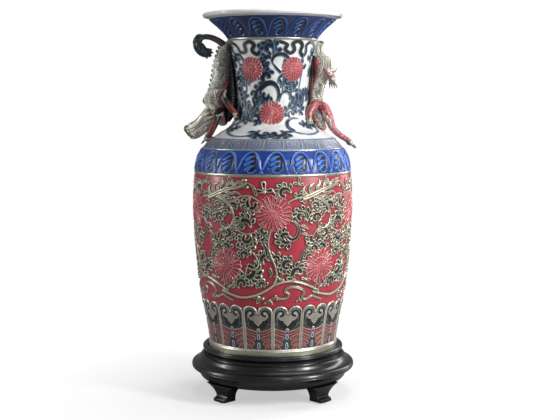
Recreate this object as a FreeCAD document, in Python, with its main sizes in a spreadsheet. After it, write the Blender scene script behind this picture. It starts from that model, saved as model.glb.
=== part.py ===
import FreeCAD, Part
import math
import os

import Sketcher

# A large porcelain vase with two dragon handles, standing on a turned and lacquered wooden stand.
# Millimetres. +Z is up, the origin is on the vase's axis at the floor, and the front faces -Y.

DIMENSIONS = {
    # Stand: four bracket feet under a turned plinth, with a collar round the vase's foot.
    "pad_thickness": 2.0,
    "pad_radius": 7.0,
    "toe_half_width": 16.5,
    "toe_radius": 157.0,
    "toe_top": 8.0,
    "ankle_radius": 148.0,
    "ankle_height": 14.0,
    "foot_back": 124.0,
    "foot_flare": 30.0,
    "dowel_radius": 3.5,
    "dowel_depth": 15.0,
    "dowel_spread": 8.0,
    "dowel_circle": 141.0,
    "plinth_bottom": 36.0,
    "plinth_base_radius": 151.0,
    "nose_radius": 173.0,
    "nose_height": 62.0,
    "nose_half": 6.6,
    "ledge_radius": 150.0,
    "ledge_height": 85.0,
    "seat_height": 95.5,
    "collar_bottom": 83.0,
    "collar_inner": 138.5,
    "collar_neck": 146.0,
    "collar_outer": 149.0,
    "collar_top": 105.0,
    "seat_felt_radius": 137.0,
    # Vase: the outer profile's stations, from the foot up, and the arcs between them.
    "wall": 8.0,
    "foot_radius": 136.0,
    "foot_bottom": 98.0,
    "foot_top": 114.0,
    "foot_inner": 124.0,
    "base_height": 106.0,
    "floor_height": 118.0,
    "floor_radius": 106.0,
    "toe_line_radius": 134.3,
    "toe_line_height": 122.0,
    "lappet_radius": 150.4,
    "lappet_height": 212.0,
    "lappet_arc": 1160.0,
    "belly_radius": 165.6,
    "belly_height": 400.0,
    "belly_arc": 1640.0,
    "bead_radius": 162.5,
    "bead_height": 471.0,
    "upper_arc": 600.0,
    "crown_radius": 157.0,
    "crown_height": 504.0,
    "crown_arc": 100.0,
    "seam_radius": 146.4,
    "seam_height": 521.5,
    "key_radius": 131.5,
    "key_height": 540.0,
    "slope_radius": 108.7,
    "slope_height": 554.7,
    "slope_arc": 90.0,
    "waist_radius": 73.0,
    "waist_height": 612.0,
    "waist_arc": 57.0,
    "collarband_radius": 89.9,
    "collarband_height": 744.0,
    "neck_arc": 490.0,
    "flare_radius": 107.0,
    "flare_height": 768.0,
    "flare_arc": 77.0,
    "rim_radius": 131.5,
    "rim_height": 788.5,
    "rim_arc": 142.0,
    "lip_radius": 146.0,
    "lip_height": 795.5,
    "lip_top": 800.0,
    "lip_inner": 137.0,
    # Applied chrysanthemums.
    "sprig_thickness": 3.5,
    "body_flower_radius": 36.0,
    "neck_flower_radius": 25.0,
    # Dragon handles: half thickness of each part where it is thickest.
    "torso_girth": 24.0,
    "slim_torso_girth": 17.0,
    "head_girth": 14.0,
    "small_head_girth": 10.5,
    "jaw_girth": 9.5,
    "small_jaw_girth": 5.0,
    "horn_girth": 3.6,
    "tail_girth": 6.5,
    "tuft_girth": 10.5,
    "leg_girth": 7.5,
    "claw_girth": 2.4,
    "crest_thickness": 4.0,
}

FOOT_ANGLES = {"front_right": -45, "rear_right": 45, "rear_left": 135, "front_left": -135}

doc = FreeCAD.newDocument("dragon_vase")
sheet = doc.addObject("Spreadsheet::Sheet", "Sheet")
nodes = []


class Size:
    """A length together with the sheet expression that drives it."""

    def __init__(self, value, text):
        self.value = value
        self.text = text

    def __add__(self, other):
        other = as_size(other)
        return Size(self.value + other.value, f"({self.text} + {other.text})")

    def __sub__(self, other):
        other = as_size(other)
        return Size(self.value - other.value, f"({self.text} - {other.text})")

    def __mul__(self, factor):
        return Size(self.value * factor, f"({self.text} * {factor})")


def as_size(number):
    return number if isinstance(number, Size) else Size(float(number), str(float(number)))


def cell(alias):
    """The named dimension, as a number that keeps its link to the sheet."""
    return Size(DIMENSIONS[alias], f"Sheet.{alias}")


def fill_sheet():
    for row, (alias, value) in enumerate(DIMENSIONS.items(), start=1):
        sheet.set(f"A{row}", alias)
        sheet.set(f"B{row}", str(value))
        sheet.setAlias(f"B{row}", alias)
    doc.recompute()


def bind(thing, path, length):
    """Ties one property or constraint to the sheet."""
    thing.setExpression(path, length.text)


def add_node(thing, name):
    thing.Label = name
    nodes.append(thing)
    return thing


# ---------------------------------------------------------------- sketches


def origin_plane(body, role):
    return next(part for part in body.Origin.OriginFeatures if part.Role == role)


def new_sketch(body, name, role):
    sketch = body.newObject("Sketcher::SketchObject", name)
    sketch.AttachmentSupport = (origin_plane(body, role), [""])
    sketch.MapMode = "FlatFace"
    return sketch


def draw_edge(sketch, start, end, arc):
    """Adds one edge; returns its index and which of its ends is the start of travel."""
    first = FreeCAD.Vector(start[0].value, start[1].value, 0)
    last = FreeCAD.Vector(end[0].value, end[1].value, 0)
    if arc is None:
        return sketch.addGeometry(Part.LineSegment(first, last)), 1
    radius = abs(arc.value)
    step = last - first
    left = FreeCAD.Vector(-step.y, step.x, 0).normalize()
    rise = math.sqrt(radius ** 2 - (step.Length / 2) ** 2)
    side = 1 if arc.value > 0 else -1
    centre = (first + last) * 0.5 + left * (rise * side)
    ends = (first, last) if side > 0 else (last, first)
    angles = [math.atan2(point.y - centre.y, point.x - centre.x) for point in ends]
    circle = Part.Circle(centre, FreeCAD.Vector(0, 0, 1), radius)
    index = sketch.addGeometry(Part.ArcOfCircle(circle, angles[0], angles[1]))
    sized = Size(radius, arc.text if side > 0 else f"(-1 * {arc.text})")
    bind(sketch, f"Constraints[{sketch.addConstraint(Sketcher.Constraint('Radius', index, radius))}]", sized)
    return index, 1 if side > 0 else 2


def draw_outline(sketch, stations):
    """Closed outline, anticlockwise. A station is (across, up, arc to the next station).

    The arc is None for a straight edge, a positive radius where the material bulges out,
    and a negative one where it is hollow.
    """
    edges = []
    for number, (across, up, arc) in enumerate(stations):
        following = stations[(number + 1) % len(stations)]
        edges.append(draw_edge(sketch, (across, up), following[:2], arc))
    for number, (index, start) in enumerate(edges):
        before, before_start = edges[number - 1]
        sketch.addConstraint(Sketcher.Constraint("Coincident", before, 3 - before_start, index, start))
    for (index, start), (across, up, arc) in zip(edges, stations):
        if across.value == 0:
            sketch.addConstraint(Sketcher.Constraint("PointOnObject", index, start, -2))
        else:
            rule = Sketcher.Constraint("DistanceX", -1, 1, index, start, across.value)
            bind(sketch, f"Constraints[{sketch.addConstraint(rule)}]", across)
        rule = Sketcher.Constraint("DistanceY", -1, 1, index, start, up.value)
        bind(sketch, f"Constraints[{sketch.addConstraint(rule)}]", up)


def station(across, up, arc=None):
    return as_size(across), as_size(up), arc


def lathe(name, stations):
    """A solid of revolution about the vase's axis."""
    body = doc.addObject("PartDesign::Body", f"{name}_body")
    sketch = new_sketch(body, f"{name}_profile", "XZ_Plane")
    draw_outline(sketch, stations)
    turned = body.newObject("PartDesign::Revolution", f"{name}_turned")
    turned.Profile = sketch
    turned.ReferenceAxis = (sketch, ["V_Axis"])
    turned.Angle = 360
    return body


def drill(body, name, points, height, radius, depth, upward):
    """Blind holes in a body, from a level face; points are (across, depth) on the XY plane."""
    sketch = new_sketch(body, f"{name}_centres", "XY_Plane")
    sketch.setExpression("AttachmentOffset.Base.z", height.text)
    for across, along in points:
        circle = Part.Circle(FreeCAD.Vector(across.value, along.value, 0), FreeCAD.Vector(0, 0, 1), radius.value)
        index = sketch.addGeometry(circle)
        for kind, length in (("DistanceX", across), ("DistanceY", along)):
            rule = sketch.addConstraint(Sketcher.Constraint(kind, -1, 1, index, 3, length.value))
            bind(sketch, f"Constraints[{rule}]", length)
        rule = sketch.addConstraint(Sketcher.Constraint("Radius", index, radius.value))
        bind(sketch, f"Constraints[{rule}]", radius)
    doc.recompute()
    before = body.Shape.Volume
    pocket = body.newObject("PartDesign::Pocket", name)
    pocket.Profile = sketch
    pocket.Reversed = upward
    bind(pocket, "Length", depth)
    doc.recompute()
    if body.Shape.Volume >= before:
        raise RuntimeError(f"{name} cuts nothing")
    return pocket


# ---------------------------------------------------------------- stand


def dowel_places():
    circle = cell("dowel_circle")
    spread = cell("dowel_spread")
    return [(circle, spread), (circle, spread * -1)]


def make_plinth():
    nose = cell("nose_radius")
    middle = cell("nose_height")
    half = cell("nose_half")
    ledge = cell("ledge_radius")
    base = cell("plinth_base_radius")
    bottom = cell("plinth_bottom")
    body = lathe("stand_plinth", [
        station(0, bottom),
        station(base, bottom),
        station(base + 3, bottom + 2.5, Size(-26, "-26")),
        station(nose - 8, middle - half - 2),
        station(nose - 4.5, middle - half, Size(9, "9")),
        station(nose - 3, middle + half),
        station(nose - 10, middle + half + 2.4, Size(-18, "-18")),
        station(ledge + 3, cell("ledge_height") - 2),
        station(ledge, cell("ledge_height")),
        station(cell("collar_neck"), cell("ledge_height")),
        station(cell("collar_neck"), cell("collar_bottom")),
        station(cell("collar_inner"), cell("collar_bottom")),
        station(cell("collar_inner"), cell("seat_height")),
        station(0, cell("seat_height")),
    ])
    pocket = drill(body, "plinth_dowel_holes", dowel_places(), bottom, cell("dowel_radius"),
                   cell("dowel_depth"), True)
    pattern = body.newObject("PartDesign::PolarPattern", "plinth_dowel_pattern")
    pattern.Originals = [pocket]
    pattern.Axis = (pocket.Profile[0], ["N_Axis"])
    pattern.Angle = 360
    pattern.Occurrences = len(FOOT_ANGLES)
    body.Tip = pattern
    body.Placement = FreeCAD.Placement(FreeCAD.Vector(), FreeCAD.Rotation(45, 0, 0))
    return add_node(body, "stand_plinth")


def make_collar():
    inner = cell("collar_inner")
    outer = cell("collar_outer")
    neck = cell("collar_neck")
    top = cell("collar_top")
    bottom = cell("collar_bottom")
    return add_node(lathe("stand_collar", [
        station(inner, bottom),
        station(neck, bottom),
        station(neck, bottom + 5, Size(8, "8")),
        station(outer, top - 8),
        station(outer, top - 4.5, Size(5.3, "5.3")),
        station(inner + 5, top),
        station(inner + 3, top, Size(3.2, "3.2")),
        station(inner, top - 3),
    ]), "stand_collar")


def make_foot(name, angle):
    """A bracket foot: its front view padded, then turned to a curved front, then drilled."""
    body = doc.addObject("PartDesign::Body", f"{name}_body")
    front = new_sketch(body, f"{name}_front", "YZ_Plane")
    front.setExpression("AttachmentOffset.Base.z", cell("foot_back").text)
    toe = cell("toe_half_width")
    top = cell("plinth_bottom")
    flare = toe + cell("foot_flare")
    sweep = Size(-29, "-29")
    draw_outline(front, [
        station(toe * -1, cell("pad_thickness")),
        station(toe, cell("pad_thickness")),
        station(toe, cell("toe_top"), sweep),
        station(flare, top),
        station(flare * -1, top, sweep),
        station(toe * -1, cell("toe_top")),
    ])
    pad = body.newObject("PartDesign::Pad", f"{name}_blank")
    pad.Profile = front
    pad.Length = 50
    doc.recompute()
    blank = body.Shape.Volume
    side = new_sketch(body, f"{name}_side", "XZ_Plane")
    toe_radius = cell("toe_radius")
    ankle = cell("ankle_radius")
    outside = toe_radius + 40
    draw_outline(side, [
        station(toe_radius, 0),
        station(outside, 0),
        station(outside, top + 4),
        station(ankle + 10, top + 4),
        station(ankle + 10, top, Size(60, "60")),
        station(ankle, cell("ankle_height"), Size(6, "6")),
        station(toe_radius - 3, cell("toe_top") + 2),
        station(toe_radius, cell("toe_top")),
    ])
    groove = body.newObject("PartDesign::Groove", f"{name}_curved_front")
    groove.Profile = side
    groove.ReferenceAxis = (side, ["V_Axis"])
    groove.Angle = 360
    doc.recompute()
    if body.Shape.Volume >= blank:
        raise RuntimeError(f"{name} keeps its flat front")
    drill(body, f"{name}_dowel_holes", dowel_places(), top, cell("dowel_radius"), cell("dowel_depth"), False)
    body.Placement = FreeCAD.Placement(FreeCAD.Vector(), FreeCAD.Rotation(angle, 0, 0))
    return add_node(body, name)


def around_z(angle, radius, along=0.0, height=0.0):
    """The point at this angle about the axis, at a radius and a distance along the tangent."""
    turn = FreeCAD.Rotation(angle, 0, 0)
    return turn.multVec(FreeCAD.Vector(radius, along, height))


def cylinder(name, radius, height, place):
    post = doc.addObject("Part::Cylinder", name)
    bind(post, "Radius", radius)
    bind(post, "Height", height)
    post.Placement = place
    return post


def group(name, members):
    gathered = doc.addObject("Part::Compound", f"{name}_group")
    gathered.Links = members
    return add_node(gathered, name)


def make_dowels():
    dowels = []
    foot = DIMENSIONS["plinth_bottom"] - DIMENSIONS["dowel_depth"]
    for name, angle in FOOT_ANGLES.items():
        for across, along in dowel_places():
            spot = around_z(angle, across.value, along.value, foot)
            place = FreeCAD.Placement(spot, FreeCAD.Rotation())
            dowels.append(cylinder(f"dowel_{name}", cell("dowel_radius"), cell("dowel_depth") * 2, place))
    return group("foot_dowels", dowels)


def make_pads():
    reach = DIMENSIONS["toe_radius"] - DIMENSIONS["pad_radius"] - 4
    pads = []
    for name, angle in FOOT_ANGLES.items():
        place = FreeCAD.Placement(around_z(angle, reach), FreeCAD.Rotation())
        pads.append(cylinder(f"pad_{name}", cell("pad_radius"), cell("pad_thickness"), place))
    return group("foot_felt_pads", pads)


def make_seat_felt():
    place = FreeCAD.Placement(FreeCAD.Vector(0, 0, DIMENSIONS["seat_height"]), FreeCAD.Rotation())
    thickness = cell("foot_bottom") - cell("seat_height")
    return add_node(cylinder("seat_felt_disc", cell("seat_felt_radius"), thickness, place), "seat_felt")


# ---------------------------------------------------------------- vase


def signed(alias, sign):
    return cell(alias) * sign


# Each station of the outer wall: its radius and height, how far the inner wall lies inwards
# and up from it in wall thicknesses, and the arc to the next station (+ bulges outwards).
BODY_WALL = [
    ("toe_line_radius", "toe_line_height", 0.98, 0.17, signed("lappet_arc", -1)),
    ("lappet_radius", "lappet_height", 0.99, 0.13, signed("belly_arc", 1)),
    ("belly_radius", "belly_height", 1.0, 0.0, signed("upper_arc", 1)),
    ("bead_radius", "bead_height", 1.0, -0.08, signed("crown_arc", 1)),
    ("crown_radius", "crown_height", 0.94, -0.34, None),
    ("seam_radius", "seam_height", 1.25, 0.0, None),
]
SHOULDER_WALL = [
    ("seam_radius", "seam_height", 1.25, 0.0, None),
    ("key_radius", "key_height", 0.75, -0.66, signed("slope_arc", -1)),
    ("slope_radius", "slope_height", 0.5, -0.87, None),
]
NECK_WALL = [
    ("slope_radius", "slope_height", 0.5, -0.87, signed("waist_arc", -1)),
    ("waist_radius", "waist_height", 1.0, 0.0, signed("neck_arc", -1)),
    ("collarband_radius", "collarband_height", 0.94, 0.34, None),
]
MOUTH_WALL = [
    ("collarband_radius", "collarband_height", 0.94, 0.34, signed("flare_arc", -1)),
    ("flare_radius", "flare_height", 0.71, 0.71, signed("rim_arc", -1)),
    ("rim_radius", "rim_height", 0.54, 0.84, None),
]


def outer_wall(wall):
    """The outer wall's stations from the bottom up; the last one has no arc."""
    rows = [station(cell(radius), cell(height), arc) for radius, height, inset, lift, arc in wall]
    rows[-1] = station(rows[-1][0], rows[-1][1])
    return rows


def parallel_wall(wall, thickness):
    """The same wall moved inwards by thickness, from the top down."""
    rows = []
    for number in range(len(wall) - 1, -1, -1):
        radius, height, inset, lift, arc = wall[number]
        across = cell(radius) - thickness * inset
        up = cell(height) + thickness * lift
        arc_below = wall[number - 1][4] if number else None
        parallel = None if arc_below is None else (arc_below - thickness) * -1
        rows.append(station(across, up, parallel))
    return rows


def make_body_shell():
    wall = cell("wall")
    foot = cell("foot_radius")
    inner = parallel_wall(BODY_WALL, wall)
    inner[-1] = station(inner[-1][0], inner[-1][1] + 14, Size(-22, "-22"))
    return add_node(lathe("body_shell", [
        station(0, cell("base_height")),
        station(cell("foot_inner") - 4, cell("base_height")),
        station(cell("foot_inner"), cell("foot_bottom") + 1),
        station(cell("foot_inner") + 1, cell("foot_bottom")),
        station(foot - 1, cell("foot_bottom")),
        station(foot, cell("foot_bottom") + 1),
        station(foot, cell("foot_top")),
        station(cell("toe_line_radius") - 1, cell("foot_top") + 2),
    ] + outer_wall(BODY_WALL) + inner + [
        station(cell("floor_radius"), cell("floor_height")),
        station(0, cell("floor_height")),
    ]), "body_shell")


def make_upper_shells():
    """The shoulder, the neck and the flared mouth, thrown apart and luted end to end."""
    wall = cell("wall")
    lip = cell("lip_radius")
    for name, rows in (("shoulder_shell", SHOULDER_WALL), ("neck_shell", NECK_WALL)):
        add_node(lathe(name, outer_wall(rows) + parallel_wall(rows, wall)), name)
    add_node(lathe("mouth_shell", outer_wall(MOUTH_WALL) + [
        station(lip - 2, cell("lip_height") - 3.5),
        station(lip, cell("lip_height"), Size(4.8, "4.8")),
        station(lip - 4, cell("lip_top")),
        station(cell("lip_inner"), cell("lip_top"), Size(9, "9")),
    ] + parallel_wall(MOUTH_WALL, wall)), "mouth_shell")


def make_flowers(name, skin, radius, places):
    """Sprigs that lie on the wall: the round pieces that posts cut from a skin over it."""
    posts = []
    for angle, height in places:
        across = FreeCAD.Vector(math.sin(math.radians(angle)), -math.cos(math.radians(angle)), 0)
        turn = FreeCAD.Rotation(FreeCAD.Vector(0, 0, 1), across)
        place = FreeCAD.Placement(across * 40 + FreeCAD.Vector(0, 0, height), turn)
        posts.append(cylinder(f"{name}_post", radius, as_size(150), place))
    cutter = doc.addObject("Part::Compound", f"{name}_posts")
    cutter.Links = posts
    flowers = doc.addObject("Part::Common", f"{name}_sprigs")
    flowers.Base = skin
    flowers.Tool = cutter
    return add_node(flowers, name)


def make_chrysanthemums():
    proud = cell("sprig_thickness") * -1
    body_skin = lathe("body_skin", outer_wall(BODY_WALL) + parallel_wall(BODY_WALL, proud))
    neck_skin = lathe("neck_skin", outer_wall(NECK_WALL) + parallel_wall(NECK_WALL, proud))
    big = cell("body_flower_radius")
    small = cell("neck_flower_radius")
    fifth = 72
    upper = [(fifth * turn, 400) for turn in range(5)]
    lower = [(fifth * turn + fifth / 2, 290) for turn in range(5)]
    make_flowers("body_flowers_upper", body_skin, big, upper)
    make_flowers("body_flowers_lower", body_skin, big, lower)
    beside_front = [(side + 33 * hand, 684) for side in (0, 180) for hand in (-1, 1)]
    make_flowers("neck_flowers_upper", neck_skin, small, beside_front)
    make_flowers("neck_flowers_lower", neck_skin, small, [(0, 594), (180, 594)])


# ---------------------------------------------------------------- dragons


def frames_along(points):
    """A section plane at each point, square to the path and without twist between them."""
    frames = []
    sideways = FreeCAD.Vector(0, 1, 0)
    for number, point in enumerate(points):
        ahead = points[min(number + 1, len(points) - 1)] - points[max(number - 1, 0)]
        ahead.normalize()
        sideways = sideways - ahead * sideways.dot(ahead)
        sideways.normalize()
        frames.append(FreeCAD.Rotation(ahead.cross(sideways) * -1, sideways, ahead, "ZYX"))
    return frames


def limb(name, girth, path):
    """A round tapering solid through path points (x, y, z, share of the girth)."""
    points = [FreeCAD.Vector(*row[:3]) for row in path]
    sections = []
    for point, turn, row in zip(points, frames_along(points), path):
        ring = doc.addObject("Part::Circle", f"{name}_section")
        bind(ring, "Radius", girth * row[3])
        ring.Placement = FreeCAD.Placement(point, turn)
        sections.append(ring)
    solid = doc.addObject("Part::Loft", f"{name}_loft")
    solid.Sections = sections
    solid.Solid = True
    solid.Ruled = False
    return solid


def mirrored_path(path):
    return [(x, -y, z, share) for x, y, z, share in path]


def make_crest(name, back):
    """A row of flat spines along the back: a saw-toothed plate, square to the y axis."""
    teeth = []
    depth = 6.0
    for number, (x, z) in enumerate(back):
        outward = 1 if x > 0 else -1
        teeth.append((x, z))
        if number + 1 < len(back):
            next_x, next_z = back[number + 1]
            teeth.append((next_x + outward * 5.5, 0.25 * z + 0.75 * next_z))
    root = [(x - math.copysign(depth, x), z) for x, z in reversed(back)]
    outline = teeth + root
    if back[0][0] < 0:
        outline.reverse()
    outline.reverse()
    body = doc.addObject("PartDesign::Body", f"{name}_body")
    sketch = new_sketch(body, f"{name}_outline", "XZ_Plane")
    draw_outline(sketch, [station(x, z) for x, z in outline])
    pad = body.newObject("PartDesign::Pad", f"{name}_plate")
    pad.Profile = sketch
    bind(pad, "Length", cell("crest_thickness"))
    pad.Midplane = True
    return add_node(body, name)


def make_claws(name, paws):
    """Four curved nails, set into the end of each paw: (root, direction, spread direction)."""
    nails = []
    length = 13.0
    depth = 7.0
    for root, ahead, across in paws:
        root = FreeCAD.Vector(*root)
        ahead = FreeCAD.Vector(*ahead).normalize()
        across = FreeCAD.Vector(*across).normalize()
        for place in (-1.5, -0.5, 0.5, 1.5):
            way = ahead + across * (0.22 * place)
            base = root + across * (3.4 * place)
            heel = base - ahead * depth
            path = [(heel.x, heel.y, heel.z, 1.0)]
            for part, share in ((0.0, 1.0), (0.45, 0.8), (1.0, 0.2)):
                spot = base + way * (length * part) - FreeCAD.Vector(0, 0, 3.0 * part * part)
                path.append((spot.x, spot.y, spot.z, share))
            nails.append(limb(f"{name}_nail", cell("claw_girth"), path))
    return group(name, nails)


def pair(name, girth, path):
    return [limb(name, girth, path), limb(name, girth, mirrored_path(path))]


def make_descending_dragon():
    """The handle on the left, whose head hangs down over the shoulder."""
    add_node(limb("descending_torso", cell("torso_girth"), [
        (-91, 0, 738, 0.34), (-99, 0, 720, 0.62), (-104, 0, 695, 0.78), (-107, 0, 660, 0.86),
        (-112, 0, 625, 0.98), (-111, 0, 598, 0.84), (-101, 0, 568, 0.40),
    ]), "descending_torso")
    add_node(limb("descending_head", cell("head_girth"), [
        (-118, 0, 602, 0.95), (-134, 0, 590, 1.0), (-150, 0, 577, 1.0), (-163, 0, 567, 0.9),
        (-174.5, 0, 558, 0.85), (-182, 0, 552, 0.45),
    ]), "descending_head")
    add_node(limb("descending_jaw", cell("jaw_girth"), [
        (-138, 0, 574, 0.8), (-149, 0, 563, 1.0), (-160, 0, 552, 0.95), (-171, 0, 543, 0.8),
        (-177, 0, 538, 0.4),
    ]), "descending_jaw")
    group("descending_horns", pair("descending_horn", cell("horn_girth"), [
        (-150, 9, 584, 1.0), (-142, 12, 597, 0.8), (-134, 14, 613, 0.3),
    ]))
    add_node(limb("descending_tail", cell("tail_girth"), [
        (-82, 0, 712, 1.0), (-98, 0, 731, 1.0), (-112, 0, 744, 0.9), (-130, 0, 752, 0.8),
        (-146, 0, 752, 0.75), (-155, 0, 744, 0.7),
    ]), "descending_tail")
    add_node(limb("descending_tuft", cell("tuft_girth"), [
        (-152, 0, 749, 0.45), (-157, 0, 738, 0.85), (-151, 0, 727, 1.0), (-142, 0, 719, 0.7),
        (-130, 0, 715, 0.12),
    ]), "descending_tuft")
    make_crest("descending_crest", [(-113, 726), (-118, 706), (-122.5, 686), (-126, 666), (-131, 646), (-135, 626)])
    group("descending_forelegs", pair("descending_foreleg", cell("leg_girth"), [
        (-112, 12, 596, 1.1), (-116, 23, 583, 1.0), (-122, 26, 567, 0.9), (-130, 25, 553, 0.8),
        (-137, 22, 543, 0.75),
    ]))
    group("descending_hindlegs", pair("descending_hindleg", cell("leg_girth"), [
        (-104, 14, 632, 1.1), (-99, 28, 622, 1.0), (-88, 36, 606, 0.9), (-77, 38, 594, 0.8),
    ]))
    make_claws("descending_claws", [
        ((-139, side * 21, 540), (-0.75, 0, -0.55), (0, 1, 0)) for side in (-1, 1)
    ] + [
        ((-76, side * 39, 590), (0.25, side * 0.1, -0.95), (0.5, -side * 0.85, 0)) for side in (-1, 1)
    ])


def make_ascending_dragon():
    """The handle on the right, which climbs with its head under the mouth of the vase."""
    add_node(limb("ascending_torso", cell("slim_torso_girth"), [
        (96, 0, 718, 0.42), (100, 0, 705, 0.85), (104, 0, 690, 1.0), (102, 0, 671, 0.86),
        (96, 0, 651, 0.70), (90, 0, 629, 0.76), (91, 0, 606, 0.9), (98, 0, 587, 0.85),
        (103, 0, 568, 0.45),
    ]), "ascending_torso")
    add_node(limb("ascending_head", cell("small_head_girth"), [
        (98, 0, 712, 0.8), (100, 0, 722, 1.0), (102, 0, 733, 0.85), (102, 0, 742, 0.65),
        (100, 0, 748, 0.35),
    ]), "ascending_head")
    add_node(limb("ascending_jaw", cell("small_jaw_girth"), [
        (94, 0, 716, 1.0), (91.5, 0, 725, 0.9), (92.5, 0, 734, 0.5),
    ]), "ascending_jaw")
    group("ascending_horns", pair("ascending_horn", cell("horn_girth"), [
        (106, 7, 722, 1.0), (114, 10, 731, 0.8), (118, 12, 743, 0.3),
    ]))
    add_node(limb("ascending_tail", cell("tail_girth"), [
        (102, 6, 577, 1.0), (109, 20, 565, 0.9), (104, 36, 561, 0.8), (90, 50, 563, 0.65),
    ]), "ascending_tail")
    add_node(limb("ascending_tuft", cell("tuft_girth"), [
        (94, 47, 562, 0.4), (84, 54, 565, 0.7), (74, 60, 566, 0.65), (60, 68, 563, 0.15),
    ]), "ascending_tuft")
    make_crest("ascending_crest", [(118, 702), (119.5, 688), (115, 670), (106.5, 650), (101.5, 630), (104.5, 611)])
    group("ascending_forelegs", [
        limb("ascending_foreleg_out", cell("leg_girth"), [
            (106, -10, 690, 1.0), (114, -15, 681, 0.95), (121, -17, 671, 0.8), (124, -17, 663, 0.75),
        ]),
        limb("ascending_foreleg_in", cell("leg_girth"), [
            (104, 12, 690, 1.0), (97, 24, 686, 0.9), (87, 30, 682, 0.8), (77, 32, 680, 0.7),
        ]),
    ])
    group("ascending_hindlegs", [
        limb("ascending_hindleg_out", cell("leg_girth"), [
            (98, -8, 604, 1.3), (112, -12, 596, 1.4), (119, -13, 578, 1.2), (127, -13, 560, 0.95),
            (142, -12, 547, 0.8), (156, -11, 538, 0.75), (163, -11, 533, 0.7),
        ]),
        limb("ascending_hindleg_in", cell("leg_girth"), [
            (92, -10, 612, 1.2), (84, -24, 606, 1.1), (76, -32, 594, 0.95), (76, -38, 580, 0.8),
        ]),
    ])
    make_claws("ascending_claws", [
        ((124, -17, 660), (0.25, 0, -0.97), (0.8, -0.5, 0)),
        ((76, 33, 679), (-0.3, 0.75, -0.6), (0.4, 0, 0.9)),
        ((164, -11, 531), (0.8, 0, -0.6), (0.3, 1, 0)),
        ((77, -39, 577), (0.4, -0.3, -0.85), (0.7, 0.7, 0)),
    ])


# ---------------------------------------------------------------- model


def build():
    fill_sheet()
    make_plinth()
    make_collar()
    for name, angle in FOOT_ANGLES.items():
        make_foot(f"stand_foot_{name}", angle)
    make_dowels()
    make_pads()
    make_seat_felt()
    make_body_shell()
    make_upper_shells()
    make_chrysanthemums()
    make_descending_dragon()
    make_ascending_dragon()
    doc.recompute()


def check():
    """Stops before anything is written if a feature failed or a sub-part isn't a good solid."""
    for thing in doc.Objects:
        if {"Invalid", "Error"} & set(thing.State):
            raise RuntimeError(f"{thing.Label} failed: {thing.State}")
    for node in nodes:
        shape = node.Shape
        if shape.isNull() or not shape.isValid() or not shape.Solids:
            raise RuntimeError(f"{node.Label} isn't a valid solid")


def export():
    os.makedirs("parts", exist_ok=True)
    for node in nodes:
        node.Shape.exportStep(f"parts/{node.Label}.step")
        print(node.Label, len(node.Shape.Solids), round(node.Shape.Volume / 1000, 2), "cm3")


build()
check()
export()
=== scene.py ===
import math

import bpy
import numpy as np
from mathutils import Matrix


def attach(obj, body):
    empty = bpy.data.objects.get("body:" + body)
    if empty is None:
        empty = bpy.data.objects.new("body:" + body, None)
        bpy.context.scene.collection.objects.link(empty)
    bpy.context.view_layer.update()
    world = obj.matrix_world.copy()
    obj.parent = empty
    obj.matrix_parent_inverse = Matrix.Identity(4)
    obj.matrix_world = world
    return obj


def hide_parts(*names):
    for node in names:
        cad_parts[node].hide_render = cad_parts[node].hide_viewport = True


# A porcelain vase with two dragon handles on a black lacquered stand. Blender units are metres;
# the relief is drawn in millimetres on flat charts and wrapped round the vase's outer wall.

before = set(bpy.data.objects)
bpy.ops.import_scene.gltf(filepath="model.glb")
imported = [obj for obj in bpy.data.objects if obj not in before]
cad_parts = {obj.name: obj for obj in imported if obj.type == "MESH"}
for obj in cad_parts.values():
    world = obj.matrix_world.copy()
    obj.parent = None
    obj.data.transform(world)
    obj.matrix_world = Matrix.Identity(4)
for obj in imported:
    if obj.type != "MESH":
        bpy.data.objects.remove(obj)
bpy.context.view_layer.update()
MM = 0.001
FULL_TURN = 2 * math.pi


def srgb(red, green, blue):
    """A linear colour from 0-255 screen values."""
    share = np.array([red, green, blue]) / 255
    return np.where(share <= 0.04045, share / 12.92, ((share + 0.055) / 1.055) ** 2.4)


CRIMSON = srgb(172, 48, 64)
BLUSH = srgb(240, 176, 176)
SILVER = srgb(206, 204, 184)
OLD_SILVER = srgb(104, 104, 84)
BOTTLE = srgb(24, 34, 33)
COBALT = srgb(14, 60, 148)
COBALT_LIGHT = srgb(44, 104, 196)
NAVY = srgb(10, 20, 46)
MARINE = srgb(14, 36, 88)
SLATE = srgb(66, 100, 130)
INK = srgb(22, 38, 56)
WHITE = srgb(232, 234, 232)
LAVENDER = srgb(112, 124, 148)
PEARL = srgb(222, 226, 230)
TAUPE = srgb(150, 142, 130)
COAL = srgb(20, 22, 24)
CLOUD_GREY = srgb(142, 146, 148)
COAL_GREEN = srgb(58, 66, 64)
PETAL_RED = srgb(152, 70, 74)
PETAL_EDGE = srgb(208, 178, 166)
CRIMSON_PETAL = srgb(176, 50, 64)
PETAL_GAP = srgb(74, 14, 24)
OLIVE_SILVER = srgb(178, 174, 150)
CREAM = srgb(238, 232, 216)
PALE_SILVER = srgb(240, 234, 222)
TARNISH = srgb(44, 40, 34)
ROSE = srgb(190, 112, 114)
ROSE_DARK = srgb(112, 32, 42)
RUST = srgb(104, 40, 34)
MIDNIGHT = srgb(24, 38, 46)
NAIL = srgb(46, 42, 40)

# ------------------------------------------------------------------ the vase's outer wall

# (height, radius, arc to the next station) in millimetres. A minus arc is hollow and None is straight.
WALL = [
    (113.0, 132.9, None),
    (122.0, 134.3, -1160.0), (212.0, 150.4, 1640.0), (400.0, 165.6, 600.0), (471.0, 162.5, 100.0),
    (504.0, 157.0, None), (521.5, 146.4, None), (540.0, 131.5, -90.0), (554.7, 108.7, -57.0),
    (612.0, 73.0, -490.0), (744.0, 89.9, -77.0), (768.0, 107.0, -142.0), (788.5, 131.5, None),
]


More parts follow.
